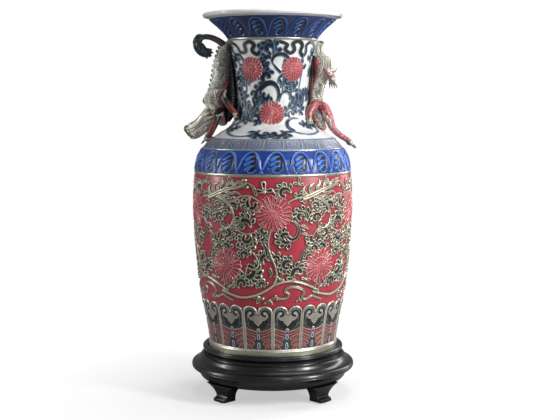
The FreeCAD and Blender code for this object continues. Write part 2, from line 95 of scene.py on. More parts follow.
def bulge(start, end, arc, count):
    """Points from start towards end along a circle's arc; a positive arc bulges to the right."""
    start, end = np.array(start, float), np.array(end, float)
    steps = np.arange(count) / count
    if arc is None:
        return start + np.outer(steps, end - start)
    chord = end - start
    half = np.hypot(*chord) / 2
    left = np.array([-chord[1], chord[0]]) / (2 * half)
    centre = (start + end) / 2 + left * math.copysign(math.sqrt(arc * arc - half * half), arc)
    first = math.atan2(*(start - centre)[::-1])
    sweep = math.copysign(2 * math.asin(half / abs(arc)), arc)
    angles = first + sweep * steps
    return centre + abs(arc) * np.column_stack([np.cos(angles), np.sin(angles)])


def wall_profile():
    """Dense (radius, height) along the wall, its running length and its outward normal."""
    rows = []
    for (low, radius, arc), (high, next_radius, _) in zip(WALL, WALL[1:]):
        rows.append(bulge((radius, low), (next_radius, high), arc, 60))
    points = np.vstack(rows + [[(WALL[-1][1], WALL[-1][0])]])
    length = np.concatenate([[0], np.cumsum(np.hypot(*np.diff(points, axis=0).T))])
    run = np.gradient(points, length, axis=0)
    kernel = np.ones(9) / 9
    padded = np.pad(run, ((4, 4), (0, 0)), mode="edge")
    run = np.column_stack([np.convolve(padded[:, k], kernel, mode="valid") for k in (0, 1)])
    run /= np.hypot(*run.T)[:, None]
    return points, length, np.column_stack([run[:, 1], -run[:, 0]])


WALL_POINTS, WALL_LENGTH, WALL_NORMAL = wall_profile()


def length_at(height):
    return np.interp(height, WALL_POINTS[:, 1], WALL_LENGTH)


def on_wall(length, angle, lift):
    """Points over the wall: running length, angle from the front, and height off it, in metres."""
    radius = np.interp(length, WALL_LENGTH, WALL_POINTS[:, 0])
    height = np.interp(length, WALL_LENGTH, WALL_POINTS[:, 1])
    out = np.interp(length, WALL_LENGTH, WALL_NORMAL[:, 0])
    up = np.interp(length, WALL_LENGTH, WALL_NORMAL[:, 1])
    reach = radius + out * lift
    across, towards = reach * np.sin(angle), -reach * np.cos(angle)
    return np.stack([across, towards, height + up * lift + 0 * angle], axis=-1) * MM


# ------------------------------------------------------------------ meshes


def new_mesh(name, points, faces, body):
    """A smooth-shaded object from points and lists of corners."""
    mesh = bpy.data.meshes.new(name)
    mesh.from_pydata([tuple(point) for point in points], [], faces)
    return finish_mesh(name, mesh, body)


def placed(name, data):
    """A new object in the scene."""
    thing = bpy.data.objects.new(name, data)
    bpy.context.scene.collection.objects.link(thing)
    return thing


def finish_mesh(name, mesh, body):
    mesh.polygons.foreach_set("use_smooth", np.ones(len(mesh.polygons), bool))
    thing = placed(name, mesh)
    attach(thing, body)
    return thing


def raw_mesh(name, points, corners, sizes):
    """A mesh straight from flat arrays, for the large grids."""
    mesh = bpy.data.meshes.new(name)
    mesh.vertices.add(len(points))
    mesh.vertices.foreach_set("co", np.asarray(points, np.float32).ravel())
    mesh.loops.add(len(corners))
    mesh.loops.foreach_set("vertex_index", np.asarray(corners, np.int32))
    mesh.polygons.add(len(sizes))
    starts = np.concatenate([[0], np.cumsum(sizes)[:-1]])
    mesh.polygons.foreach_set("loop_start", starts.astype(np.int32))
    mesh.update(calc_edges=True)
    mesh.validate()
    return mesh


def grid_quads(index):
    """The corners of every cell in a grid of point numbers."""
    return np.stack([index[:-1, :-1], index[:-1, 1:], index[1:, 1:], index[1:, :-1]], axis=-1).reshape(-1, 4)


def spaced(count, step):
    """Every step-th number below count, and the last one."""
    return sorted(set(range(0, count - 1, step)) | {count - 1})


def sheet_sides(index, rear_index, rows, columns):
    """Faces from each edge of the fine front grid to the coarse back grid's edge behind it."""
    sides = []
    for a, (first, last) in enumerate(zip(columns, columns[1:])):
        low = list(index[0, first:last + 1])[::-1]
        high = list(index[-1, first:last + 1])
        sides.append(low + [rear_index[0, a], rear_index[0, a + 1]])
        sides.append(high + [rear_index[-1, a + 1], rear_index[-1, a]])
    for a, (first, last) in enumerate(zip(rows, rows[1:])):
        right = list(index[first:last + 1, -1])[::-1]
        left = list(index[first:last + 1, 0])
        sides.append(right + [rear_index[a, -1], rear_index[a + 1, -1]])
        sides.append(left + [rear_index[a + 1, 0], rear_index[a, 0]])
    return sides


def closed_sheet(name, front, back, paint, metal, step=12):
    """A thin closed plate: a fine front grid, a coarse back grid and sides between them."""
    rows, columns = front.shape[:2]
    index = np.arange(rows * columns).reshape(rows, columns)
    kept_rows, kept_columns = spaced(rows, step), spaced(columns, step)
    rear = back[np.ix_(kept_rows, kept_columns)].reshape(-1, 3)
    rear_index = rows * columns + np.arange(len(rear)).reshape(len(kept_rows), len(kept_columns))
    quads, rear_quads = grid_quads(index), grid_quads(rear_index)[:, [0, 3, 2, 1]]
    sides = sheet_sides(index, rear_index, kept_rows, kept_columns)
    corners = np.concatenate([quads.ravel(), rear_quads.ravel(), np.concatenate(sides)])
    sizes = np.array([4] * (len(quads) + len(rear_quads)) + [len(side) for side in sides])
    points = np.vstack([front.reshape(-1, 3), rear])
    mesh = raw_mesh(name, points, corners, sizes)
    paint = paint.reshape(-1, 3)
    put_attribute(mesh, "paint", np.vstack([paint, np.tile(paint[0], (len(rear), 1))]))
    put_attribute(mesh, "metal", np.concatenate([metal.ravel(), np.zeros(len(rear))]))
    thing = finish_mesh(name, mesh, "vase")
    thing.data.materials.append(RELIEF)
    sharpen(mesh, np.concatenate([index[0], index[-1], index[:, 0], index[:, -1]]))
    return thing


def sharpen(mesh, corners):
    """Marks the edges whose two ends are both among the corners as sharp."""
    rim = np.zeros(len(mesh.vertices), bool)
    rim[corners] = True
    ends = np.empty(len(mesh.edges) * 2, np.int32)
    mesh.edges.foreach_get("vertices", ends)
    sharp = mesh.attributes.new("sharp_edge", "BOOLEAN", "EDGE")
    sharp.data.foreach_set("value", rim[ends.reshape(-1, 2)].all(axis=1))


def put_attribute(mesh, name, values):
    if values.ndim == 2:
        layer = mesh.attributes.new(name, "FLOAT_COLOR", "POINT")
        full = np.ones((len(values), 4), np.float32)
        full[:, :3] = values
        layer.data.foreach_set("color", full.ravel())
    else:
        layer = mesh.attributes.new(name, "FLOAT", "POINT")
        layer.data.foreach_set("value", values.astype(np.float32))


def lathe(name, outline, segments, material, body="vase"):
    """A closed solid of revolution from an anticlockwise (radius, height) outline in millimetres."""
    angles = np.arange(segments) * FULL_TURN / segments
    points, faces, rings = [], [], []
    for radius, height in np.array(outline) * MM:
        if radius < 1e-9:
            rings.append([len(points)] * segments)
            points.append((0.0, 0.0, height))
        else:
            rings.append(list(range(len(points), len(points) + segments)))
            points += [(radius * math.sin(a), -radius * math.cos(a), height) for a in angles]
    for low, high in zip(rings, rings[1:] + rings[:1]):
        for k in range(segments):
            after = (k + 1) % segments
            corners = [low[k], low[after], high[after], high[k]]
            face = [c for place, c in enumerate(corners) if c not in corners[:place]]
            if len(face) > 2:
                faces.append(face)
    piece = new_mesh(name, points, faces, body)
    piece.data.materials.append(material)
    return piece


# ------------------------------------------------------------------ charts of painted relief


def blend(first, second, share):
    return first + (second - first) * share[..., None]


def ease(low, high, value):
    share = np.clip((value - low) / (high - low), 0, 1)
    return share * share * (3 - 2 * share)


SPAN_STEPS = 14


def spline(points):
    """A smooth curve through rows of numbers, whatever each row holds."""
    rows = np.array(points, float)
    if len(rows) < 3:
        return rows[0] + np.outer(np.linspace(0, 1, SPAN_STEPS + 1), rows[-1] - rows[0])
    ghost = np.vstack([2 * rows[0] - rows[1], rows, 2 * rows[-1] - rows[-2]])
    t = (np.arange(SPAN_STEPS) / SPAN_STEPS)[:, None]
    spans = []
    for a, b, c, d in zip(ghost, ghost[1:], ghost[2:], ghost[3:]):
        spans.append(0.5 * (2 * b + (c - a) * t + (2 * a - 5 * b + 4 * c - d) * t ** 2
                            + (3 * b - a - 3 * c + d) * t ** 3))
    return np.vstack(spans + [rows[-1:]])


class Masked:
    """Values that a style gives only where inside is 0, so that what lies within stays."""

    def __init__(self, values, inside):
        self.values, self.inside = values, inside


GROUND_LEVEL = 0.5
BRUSH_MARGIN = 1.5
FAR_AWAY = 9.0


class Chart:
    """A flat sheet in millimetres that repeats round the vase: relief height, paint and metal."""

    def __init__(self, width, tall, cell, ground):
        self.width, self.tall = width, tall
        self.x = np.linspace(-width / 2, width / 2, int(round(width / cell)) + 1)
        self.y = np.linspace(0, tall, int(round(tall / cell)) + 1)
        self.cell_x = self.x[1] - self.x[0]
        self.cell_y = self.y[1] - self.y[0]
        shape = (len(self.y), len(self.x))
        self.height = np.full(shape, GROUND_LEVEL)
        self.paint = np.tile(ground, shape + (1,)).astype(float)
        self.metal = np.zeros(shape)

    def window(self, low, high):
        """The rows and columns that hold the rectangle between two corners."""
        left = max(0, int((low[0] + self.width / 2) / self.cell_x))
        right = min(len(self.x), int((high[0] + self.width / 2) / self.cell_x) + 2)
        bottom = max(0, int(low[1] / self.cell_y))
        top = min(len(self.y), int(high[1] / self.cell_y) + 2)
        return slice(bottom, top), slice(left, right)

    def stroke(self, points, widths, style):
        """A brush stroke of varying half width, drawn with its copies across the seam."""
        path = spline(points)
        half = np.interp(np.linspace(0, 1, len(path)), np.linspace(0, 1, len(widths)), widths)
        reach = half.max() + BRUSH_MARGIN
        for shift in (-self.width, 0.0, self.width):
            line = path + [shift, 0]
            rows, columns = self.window(line.min(axis=0) - reach, line.max(axis=0) + reach)
            if rows.start >= rows.stop or columns.start >= columns.stop:
                continue
            gap = np.full((rows.stop - rows.start, columns.stop - columns.start), FAR_AWAY)
            for spot, wide in zip(line, half):
                near_rows, near_columns = self.window(spot - wide - BRUSH_MARGIN, spot + wide + BRUSH_MARGIN)
                if near_rows.start >= near_rows.stop or near_columns.start >= near_columns.stop:
                    continue
                aside = self.x[near_columns][None, :] - spot[0]
                above = self.y[near_rows][:, None] - spot[1]
                inner = (slice(near_rows.start - rows.start, near_rows.stop - rows.start),
                         slice(near_columns.start - columns.start, near_columns.stop - columns.start))
                gap[inner] = np.minimum(gap[inner], np.hypot(aside, above) - wide)
            self.apply((rows, columns), gap, style)

    def apply(self, area, gap, style):
        """Lays a style over the part of the sheet where gap, the distance outside, is below zero."""
        cover = 1 - ease(-0.45, 0.35, gap)
        height, paint, metal = style(-gap)
        if isinstance(height, Masked):
            cover = cover * (1 - height.inside)
            height, paint, metal = height.values, paint.values, metal.values
        self.height[area] += (height - self.height[area]) * cover
        self.paint[area] += (paint - self.paint[area]) * cover[..., None]
        self.metal[area] += (metal - self.metal[area]) * cover

    def everywhere(self, gap, style):
        self.apply((slice(0, len(self.y)), slice(0, len(self.x))), gap, style)

    def soften(self):
        """Takes the stair-steps of the grid out of the relief."""
        ring = np.pad(self.height[:, :-1], ((0, 0), (1, 2)), mode="wrap")
        ring = np.pad(ring, ((1, 1), (0, 0)), mode="edge")
        near = ring[:-2, 1:-1] + ring[2:, 1:-1] + ring[1:-1, :-2] + ring[1:-1, 2:]
        self.height = ring[1:-1, 1:-1] * 0.4 + near * 0.15

    def shade_hollows_light_edges(self, strength=0.55, radius=2.4):
        """Paints shade into the hollows of the relief, standing also for patina, and a highlight on its
        raised metal edges.
        """
        soft = self.height.copy()
        for axis, cell in ((1, self.cell_x), (0, self.cell_y)):
            count = max(1, int(radius / cell))
            for _ in range(2):
                if axis == 1:
                    ring = np.pad(soft[:, :-1], ((0, 0), (count, count + 1)), mode="wrap")
                else:
                    ring = np.pad(soft, ((count, count), (0, 0)), mode="edge")
                total = np.cumsum(np.insert(ring, 0, 0, axis=axis), axis=axis)
                size = 2 * count + 1
                cut = [slice(None), slice(None)]
                cut[axis] = slice(size, None)
                back = [slice(None), slice(None)]
                back[axis] = slice(None, -size)
                soft = (total[tuple(cut)] - total[tuple(back)]) / size
                soft = soft[:self.height.shape[0], :self.height.shape[1]]
        relief = self.height - soft
        # painted shade in the hollows, which also stands for patina
        shade = 1 - strength * np.clip(-relief / 0.7, 0, 1)
        self.paint *= shade[..., None]
        # painted highlight on the raised metal edges
        self.paint += (0.10 * np.clip(relief / 0.6, 0, 1) * self.metal)[..., None]


def enamel(rim, fill, rim_width=1.0, *, rise, floor, metal):
    """Raised metal-edged cell with a painted, slightly crowned floor."""
    def style(depth):
        edge = 1 - ease(rim_width, rim_width + 0.6, depth)
        crown = floor + 0.35 * ease(rim_width, rim_width + 3, depth)
        paint = fill + (rim - fill) * edge[..., None]
        return crown + (rise - crown) * edge, paint, metal * edge
    return style


def floor_fill(colour, deep, level):
    """The sunk floor of a leaf, darker towards its middle."""
    def style(depth):
        return level + 0 * depth, blend(colour, deep, ease(0.3, 1.6, depth)), 0 * depth
    return style


def ridge(colour, shade, rise, round_off=1.6, metal=0.85):
    """A plain raised cord, rounded over, with painted shade making it darker down its sides."""
    def style(depth):
        up = 1 - (1 - np.clip(depth / round_off, 0, 1)) ** 2
        # painted shade: the colour darkens from the cord's crown towards its sides
        paint = shade + (colour - shade) * ease(0.1, 0.9, depth)[..., None]
        return 0.7 + (rise - 0.7) * up, paint, np.full_like(depth, metal)
    return style


def leaf(chart, points, widths, style):
    """A raised rim, with a sunk floor inside it where the leaf is wide enough."""
    rim, fill, width = style
    chart.stroke(points, widths, rim)
    if fill is not None and widths.max() > width + 0.6:
        chart.stroke(points, np.maximum(widths - width, 0.15), fill)


def comma(chart, points, wide, style):
    """A leaf that is thin where it starts and round at its head."""
    steps = np.linspace(0, 1, 12)
    leaf(chart, points, wide * (0.25 + 0.75 * np.sin(steps ** 0.9 * math.pi / 2)), style)


def blade(chart, points, wide, style):
    """A leaf pointed at both ends."""
    steps = np.linspace(0, 1, 12)
    leaf(chart, points, wide * (0.12 + 0.88 * np.sin(math.pi * steps) ** 0.8), style)


def turned(x, y, angle, distance):
    return x + distance * math.cos(angle), y + distance * math.sin(angle)


LOBE_CURL = 0.5


def palmette(chart, x, y, heading, count, spread, size, wide, style):
    """Stubby lobes that fan out from a point, the middle ones longest, each curling away from the middle."""
    for k in range(count):
        aside = k / (count - 1) - 0.5
        way = math.radians(heading + spread * aside)
        stub(chart, (x, y), way, size * (1 - 0.35 * abs(aside)), wide * 0.95, LOBE_CURL * aside, style)
    chart.stroke([(x, y), turned(x, y, math.radians(heading), 1.0)], [wide * 0.8, wide * 0.8], style[0])


def stub(chart, root, way, long, wide, curl, style):
    """A stubby lobe: a round bright head with a dark drop-shaped well behind it."""
    rim, fill, width = style
    knee = turned(*root, way, long * 0.6)
    tip = turned(*knee, way + curl, long * 0.36)
    chart.stroke([root, knee, tip], [wide * 0.62, wide * 0.8, wide, wide * 0.92], rim)
    well = [turned(*root, way, long * 0.2), turned(*root, way, long * 0.55),
            turned(*knee, way + curl, long * 0.22)]
    inside = wide - width
    chart.stroke(well, [inside * 0.2, inside * 0.7, inside * 0.85], fill)


def acanthus(chart, x, y, heading, hand, size, lobes, wide, style):
    """A leaf scroll: a thick hollow spine curls left (hand 1) or right (-1), stubs along its outside."""
    rim, fill, width = style
    angle = math.radians(heading)
    spine = [(x, y)]
    step = size * 0.33
    for _ in range(5):
        spine.append(turned(*spine[-1], angle, step))
        angle += hand * math.radians(50)
        step *= 0.84
    path = spline(spine)
    reach = wide * 0.7 + size * 0.30
    for number in range(lobes):
        share = 0.12 + 0.66 * number / max(lobes - 1, 1)
        place = int(share * (len(path) - 1))
        root, ahead = path[place], path[min(place + 2, len(path) - 1)]
        way = math.atan2(ahead[1] - root[1], ahead[0] - root[0]) - hand * math.radians(82 - 26 * share)
        long = reach * (0.86 + 0.2 * math.sin(math.pi * share))
        stub(chart, root, way, long, wide * 0.80, hand * 0.7, style)
    body = wide * np.array([0.45, 0.8, 0.95, 0.95, 0.85, 0.8, 0.95])
    chart.stroke(spine, body, rim)
    hollow = np.maximum(body - width, 0.15)
    hollow[0], hollow[-1] = 0.1, body[-1] - width - 0.6
    chart.stroke(spine, np.maximum(hollow, 0.1), fill)


# ------------------------------------------------------------------ the crimson field

FIELD_LOW, FIELD_HIGH = 216.0, 471.0
SILVER_LEAF = (ridge(OLIVE_SILVER, OLD_SILVER * 0.7, rise=3.6, round_off=1.8),
               floor_fill(OLD_SILVER * 0.35, BOTTLE, 1.2), 1.4)
SILVER_VINE = ridge(OLIVE_SILVER, OLD_SILVER * 0.8, rise=3.4, round_off=2.2)
SILVER_FLAME = ridge(OLIVE_SILVER, OLD_SILVER * 0.7, rise=3.2, round_off=2.6)
FLAME_GROOVE = ridge(OLD_SILVER * 0.8, OLD_SILVER * 0.8, rise=2.0, round_off=1.0)
CLOUD_CREST = ridge(OLD_SILVER, OLD_SILVER, rise=1.7, round_off=1)
# One fifth of the field, in millimetres: x along the wall from the upper flower, y up the wall, whose
# lower edge here counts as FIELD_LOW.
# Scrolls: x, y, heading, hand, size, lobes, half width.
# Fans: x, y, heading, lobes, spread, size, half width.
FIELD_SCROLLS = [
    (34, 440, 135, 1, 24, 5, 4.3), (46, 427, 60, -1, 15, 3, 3.8), (68, 383, 95, 1, 26, 5, 4.7),
    (99, 385, 110, 1, 20, 4, 4.3), (36, 344, 200, -1, 26, 5, 4.7), (38, 298, 150, 1, 22, 5, 4.4),
    (92, 358, -75, -1, 25, 5, 4.4), (101, 354, -25, 1, 19, 4, 4.1), (46, 264, 125, -1, 27, 5, 4.7),
    (-44, 371, 110, 1, 27, 5, 4.8), (-45, 429, -120, 1, 25, 5, 4.4), (-70, 284, -55, 1, 37, 7, 5.5),
    (-19, 297, 120, -1, 22, 5, 4.3), (-60, 354, -110, 1, 27, 5, 4.7), (-34, 352, 35, -1, 18, 4, 4.0),
    (-44, 355, -95, -1, 22, 5, 4.3), (-85, 398, 120, -1, 24, 5, 4.3), (-91, 322, 100, 1, 20, 4, 4.1),
    (-74, 246, 100, -1, 22, 5, 4.3), (-96, 246, 60, 1, 19, 4, 4.1), (82, 300, 175, -1, 19, 4, 3.8),
    (10, 300, 80, 1, 17, 3, 3.8), (78, 410, 60, -1, 18, 4, 3.8), (-14, 372, 200, 1, 17, 3, 3.6),
    (88, 318, 60, 1, 16, 4, 3.8), (-52, 310, 100, 1, 16, 4, 3.8), (-18, 250, 100, 1, 14, 4, 3.6),
    (104, 300, 120, 1, 17, 4, 3.8),
]
FIELD_FANS = [
    (-17, 441, 95, 3, 150, 16, 4.2), (50, 456, 80, 3, 160, 10, 3.0), (12, 266, 60, 3, 150, 10, 2.8),
    (69, 263, 80, 3, 150, 10, 2.8), (-31, 229, -100, 3, 140, 11, 3.0), (-8, 223, -60, 3, 150, 11, 2.8),
    (56, 225, -90, 2, 70, 8, 2.4), (-92, 456, 80, 3, 140, 11, 3.0), (-62, 452, 60, 3, 130, 12, 3.0),
    (-97, 366, 200, 3, 140, 12, 3.0), (8, 223, 60, 2, 90, 9, 2.4), (-82, 300, 150, 3, 120, 12, 3.0),
]
FIELD_VINES = [
    ([(-115, 237), (-98, 232), (-68, 226), (-39, 231), (-17, 241), (0, 252), (14, 258), (35, 261),
     (57, 257), (84, 247), (102, 238)], [3.0, 3.0]),
    ([(0, 252), (6, 265), (7, 280), (3, 296), (-3, 311), (-8, 326), (-9, 341), (-7, 356), (-3, 368)],
     [2.6, 1.8]),
    ([(29, 421), (48, 429), (72, 431), (95, 426), (114, 413), (124, 394), (121, 377), (108, 367), (95, 371),
     (94, 381), (102, 384)], [1.9, 2.6, 2.4, 1.5]),
    ([(-26, 422), (-41, 431), (-56, 433), (-69, 429), (-74, 420), (-67, 413)], [1.5, 1.9, 1.3]),
    ([(-102, 428), (-88, 416), (-80, 398), (-78, 380), (-70, 364), (-55, 357), (-38, 360)], [2.2, 1.5]),
    ([(-40, 320), (-32, 308), (-29, 295), (-38, 285), (-53, 288), (-58, 270)], [1.6, 2.0, 1.4]),
    ([(39, 259), (40, 269), (47, 277), (58, 276), (62, 284), (57, 288)], [1.7, 1.5, 1.2]),
    ([(95, 368), (86, 358), (80, 348)], [1.6, 1.4]), ([(92, 245), (96, 258), (100, 272)], [1.9, 1.3]),
    ([(-104, 234), (-96, 250), (-78, 248)], [1.7, 1.2]), ([(20, 377), (10, 360), (18, 345)], [1.2, 1.2]),
]
FIELD_COMMAS = [
    ([(29, 385), (43, 380), (51, 368), (48, 353), (38, 346), (29, 351)], 4.4),
    ([(60, 380), (65, 391), (60, 400), (49, 402)], 3.8), ([(-50, 459), (-39, 450), (-33, 436)], 3.2),
    ([(85, 334), (70, 327), (61, 316), (56, 302)], 3.4), ([(-7, 268), (-4, 277), (-7, 286)], 3.4),
    ([(-62, 392), (-66, 380), (-58, 372)], 3.2), ([(-44, 413), (-52, 405), (-62, 410)], 2.8),
]
FIELD_BLADES = [
    ([(-27, 346), (-17, 334), (-13, 320), (-15, 306)], 3.8), ([(52, 374), (62, 372), (73, 364)], 2.9),
    ([(54, 357), (64, 357), (75, 350)], 2.9), ([(55, 366), (61, 364), (65, 361)], 2.0),
]
FLAME_TONGUES = [
    ([(74, 431), (64, 436), (60, 446), (67, 454)], 4.4),
    ([(80, 434), (74, 444), (77, 453), (87, 457)], 4.2),
    ([(92, 438), (91, 449), (98, 457), (96, 465)], 4.2),
    ([(106, 444), (109, 454), (119, 459), (120, 466)], 4.0),
    ([(122, 449), (130, 458), (141, 461), (145, 467)], 3.6),
    ([(84, 435), (98, 430), (110, 432), (121, 426)], 4.2),
    ([(104, 441), (118, 437), (130, 440), (140, 434)], 3.8),
    ([(62, 428), (84, 436), (112, 446), (134, 450), (154, 459)], 5.4),
]
FIELD_CLOUD = [
    (4, 228), (15, 225), (28, 226), (33, 234), (25, 240), (30, 247), (44, 249), (59, 245), (67, 236),
    (63, 227), (71, 222), (86, 228), (98, 224), (112, 219),
]


def in_field(points):
    return [(x, y - FIELD_LOW) for x, y in points]


def paint_field(chart):
    """One fifth of the crimson field: scrolls, vines, a flame-shaped leaf and a cloud."""
    for x, y, heading, hand, size, lobes, wide in FIELD_SCROLLS:
        acanthus(chart, x, y - FIELD_LOW, heading, hand, size * 1.28, lobes + 1, wide * 1.22, SILVER_LEAF)
    for x, y, heading, count, spread, size, wide in FIELD_FANS:
        palmette(chart, x, y - FIELD_LOW, heading, count, spread, size * 1.2, wide * 1.2, SILVER_LEAF)
    for points, widths in FIELD_VINES:
        chart.stroke(in_field(points), widths, SILVER_VINE)
    for points, wide in FIELD_COMMAS:
        comma(chart, in_field(points), wide, SILVER_LEAF)
    for points, wide in FIELD_BLADES:
        blade(chart, in_field(points), wide, SILVER_LEAF)
    for points, wide in FLAME_TONGUES:
        chart.stroke(in_field(points), [wide, wide * 0.92, wide * 0.7, wide * 0.25], SILVER_FLAME)
        chart.stroke(in_field(points), [0.5, 1.0, 0.7, 0.2], FLAME_GROOVE)
    chart.stroke(in_field(FIELD_CLOUD), [2.4, 3.0, 2.4], SILVER_VINE)
    chart.stroke(in_field(FIELD_CLOUD), [0.5, 0.9, 0.5], CLOUD_CREST)
    chart.shade_hollows_light_edges()


# ------------------------------------------------------------------ bands


SHEET_BACK = -1.6


def band(name, low, high, sectors, cell, ground, painter, turn, reference=None):
    """Draws one sector's chart and wraps a copy of it round each sector of the vase."""
    start, end = length_at(low), length_at(high)
    middle = np.interp((start + end) / 2, WALL_LENGTH, WALL_POINTS[:, 0])
    reference = reference or middle
    chart = Chart(FULL_TURN * reference / sectors, end - start, cell, ground)
    painter(chart)
    chart.soften()
    angles = chart.x[None, :] / reference
    lengths = start + chart.y[:, None]
    for number in range(sectors):
        around = angles + math.radians(turn) + FULL_TURN * number / sectors
        front = on_wall(lengths + 0 * around, around, chart.height)
        rear = on_wall(lengths + 0 * around, around, np.full_like(chart.height, SHEET_BACK))
        closed_sheet(f"{name}_{number + 1}", front, rear, chart.paint, chart.metal)


def grid(chart):
    return np.meshgrid(chart.x, chart.y)


LAPPET_PETAL = (ridge(PETAL_EDGE, PETAL_RED, rise=2.4, round_off=1.2, metal=0.2),
                floor_fill(PETAL_RED, PETAL_RED * 0.7, 1.5), 1.1)
LAPPET_CURL = [(21.5, 60), (23.5, 76), (19, 87), (11, 87), (9, 80), (14, 77)]


def paint_lappet(chart):
    """One lappet: a double arch of silver with a cloud, palmette petals and drops inside."""
    x, y = grid(chart)
    side = np.abs(x)
    pillar, spring, bow = chart.width / 2, 83.0, chart.width / 4
    under = np.maximum(side - pillar, -np.hypot(side, y - spring))
    gap = np.where(y > spring, np.hypot(side - bow, y - spring) - bow, under)
    chart.everywhere(gap, enamel(CLOUD_GREY, CLOUD_GREY, rim_width=1, rise=0.9, floor=0.9, metal=0.1))
    chart.everywhere(np.maximum(gap, y - 58), enamel(COAL_GREEN, COAL_GREEN, rise=0.8, floor=0.6, metal=0))
    cup = np.hypot(x / 20.5, (y - 68) / 23.0) * 21 - 21
    chart.everywhere(np.maximum(cup, y - 84), enamel(COAL, COAL, rise=0.8, floor=0.4, metal=0))
    chart.everywhere(np.maximum(cup + 1.8, y - 86), enamel(COAL, COAL, rise=0.5, floor=0.3, metal=0))
    cloud = np.minimum.reduce([np.hypot(side - 9.5, y - 76) - 9.5, np.hypot(x, y - 72) - 9.5,
                               (side + np.abs(y - 64) * 0.9 - 8.5) * 0.7])
    chart.everywhere(cloud, enamel(SILVER, TAUPE, rim_width=0.8, rise=2.4, floor=1.7, metal=0.7))
    for hand in (-1, 1):
        for row in range(4):
            foot = 50 - 11.5 * row
            tip = hand * (6.5 + 3.4 * row)
            points = [(hand * 27.5, foot + 2), (hand * 20, foot - 6), (tip, foot - 10.5)]
            comma(chart, points, 4.6, LAPPET_PETAL)
        curl = [(hand * across, up) for across, up in LAPPET_CURL]
        chart.stroke(curl, [1.6, 2.2, 2.4, 2.8], enamel(COAL, COAL, rise=1.5, floor=1.2, metal=0))
        chart.stroke([(hand * 13.4, 82), (hand * 14.0, 81)], [1.5, 1.5], ridge(PEARL, PEARL, rise=2.2))
    for foot, tall, ring, core in ((46, 0, PEARL, COAL), (32, 2.6, PEARL, COBALT), (13, 3.4, PEARL, COBALT)):
        drop = [(0, foot - tall), (0, foot + tall + 0.1)]
        chart.stroke(drop, [3.4, 2.6], enamel(ring, core, rim_width=1.0, rise=2.0, floor=1.0, metal=0.4))
    chart.everywhere(gap, frame_style(3.4))
    groove = np.abs(-gap - 4.3) - 0.9 + 9.0 * (y < 60)
    chart.everywhere(groove, enamel(COAL, COAL, rise=0.8, floor=0.6, metal=0))
    chart.everywhere(y - 4.5, ridge(SILVER, OLD_SILVER, rise=2.8, round_off=2.0))
    chart.shade_hollows_light_edges()


def frame_style(width):
    """Only the outer strip of a region: a silver moulding with a groove along it."""
    def style(depth):
        inside = ease(width, width + 0.5, depth)
        groove = np.exp(-((depth - width * 0.62) / 0.45) ** 2)
        up = 1 - (1 - np.clip(depth / 1.3, 0, 1)) ** 2
        height = 0.7 + 2.5 * up - 0.9 * groove
        paint = SILVER - (SILVER - OLD_SILVER) * 0.8 * groove[..., None] + 0 * depth[..., None]
        return Masked(height, inside), Masked(paint, inside), Masked(0.85 + 0 * depth, inside)
    return style


def paint_key(chart):
    """One meander of the key band: light fret lines on lavender silver."""
    wide, tall = chart.width, chart.tall
    y = chart.y[:, None]
    chart.paint[:] = LAVENDER + (PEARL - LAVENDER) * (0.35 * ease(0.2, 0.9, y / tall))[..., None]
    chart.metal[:] = 0.55
    line = ridge(PEARL, LAVENDER, rise=1.5, round_off=0.8, metal=0.7)
    dark = ridge(SLATE, NAVY, rise=0.3, round_off=0.8, metal=0.3)
    left, right, low, high = -0.42, 0.36, 0.14, 0.86
    corners = [(left, low), (left, high), (right, high), (right, 0.30), (-0.24, 0.30), (-0.24, 0.68),
               (0.18, 0.68), (0.18, 0.48), (-0.06, 0.48)]
    for offset, half, style in ((0.045, 1.0, dark), (0.0, 0.75, line)):
        for start, end in zip(corners, corners[1:]):
            bar = [((u + offset) * wide, v * tall) for u, v in (start, end)]
            chart.stroke(bar, [half, half], style)
    chart.stroke([(0.44 * wide, 0), (0.53 * wide, tall)], [1.0, 1.0], line)
    for edge in (1.2, tall - 1.2):
        chart.stroke([(-wide * 0.6, edge), (wide * 0.6, edge)], [1.0, 1.0], line)
    chart.shade_hollows_light_edges(0.4, 1.6)


# Shares of one wave's width and height.
WAVE = [(-0.60, 0.04), (-0.42, 0.34), (-0.28, 0.70), (-0.05, 0.91), (0.20, 0.88), (0.37, 0.62), (0.42, 0.32),
        (0.51, 0.06)]
WAVE_CURL = [(0.24, 0.20), (0.12, 0.10), (-0.04, 0.10), (-0.17, 0.22)]


def paint_waves(ground, crest):
    """One wave of the blue bands: a cord that breaks like a wave over a three-lobed leaf."""
    cord = ridge(crest, ground * 0.5, rise=3.4, round_off=1.8, metal=0.12)
    lobe = ridge(crest, ground * 0.5, rise=2.9, round_off=2.4, metal=0.12)
    well = enamel(NAVY, COAL, rim_width=0.8, rise=0.6, floor=0.4, metal=0)

    def painter(chart):
        wide, tall = chart.width, chart.tall
        lines = 0.5 + 0.5 * np.cos(chart.x[None, :] * FULL_TURN / (wide / 24))
        chart.paint[:] = ground * (0.82 + 0.18 * lines[..., None])
        chart.height += 0.9 + 0.18 * lines

        def draw(points, widths, style):
            chart.stroke([(wide * u, tall * v) for u, v in points], [wide * half for half in widths], style)

        draw([(0.00, 0.30), (0.02, 0.66)], [0.25, 0.25], well)
        draw([(0.12, 0.26), (0.16, 0.6)], [0.10, 0.13], well)
        for foot, reach in ((0.66, 0.24), (0.46, 0.27), (0.27, 0.20)):
            points = [(wide * 0.17, tall * (foot + 0.10)), (0.0, tall * (foot + 0.05)),
                      (-wide * reach * 0.62, tall * (foot - 0.06))]
            comma(chart, points, wide * 0.085, (lobe, None, 0))
        draw(WAVE, [0.03, 0.055, 0.055, 0.03], cord)
        draw(WAVE_CURL, [0.03, 0.045, 0.02], cord)
        for edge in (0.6, tall - 0.6):
            chart.stroke([(-wide * 0.6, edge), (wide * 0.6, edge)], [1.4, 1.4], cord)
        chart.shade_hollows_light_edges(0.6)
    return painter


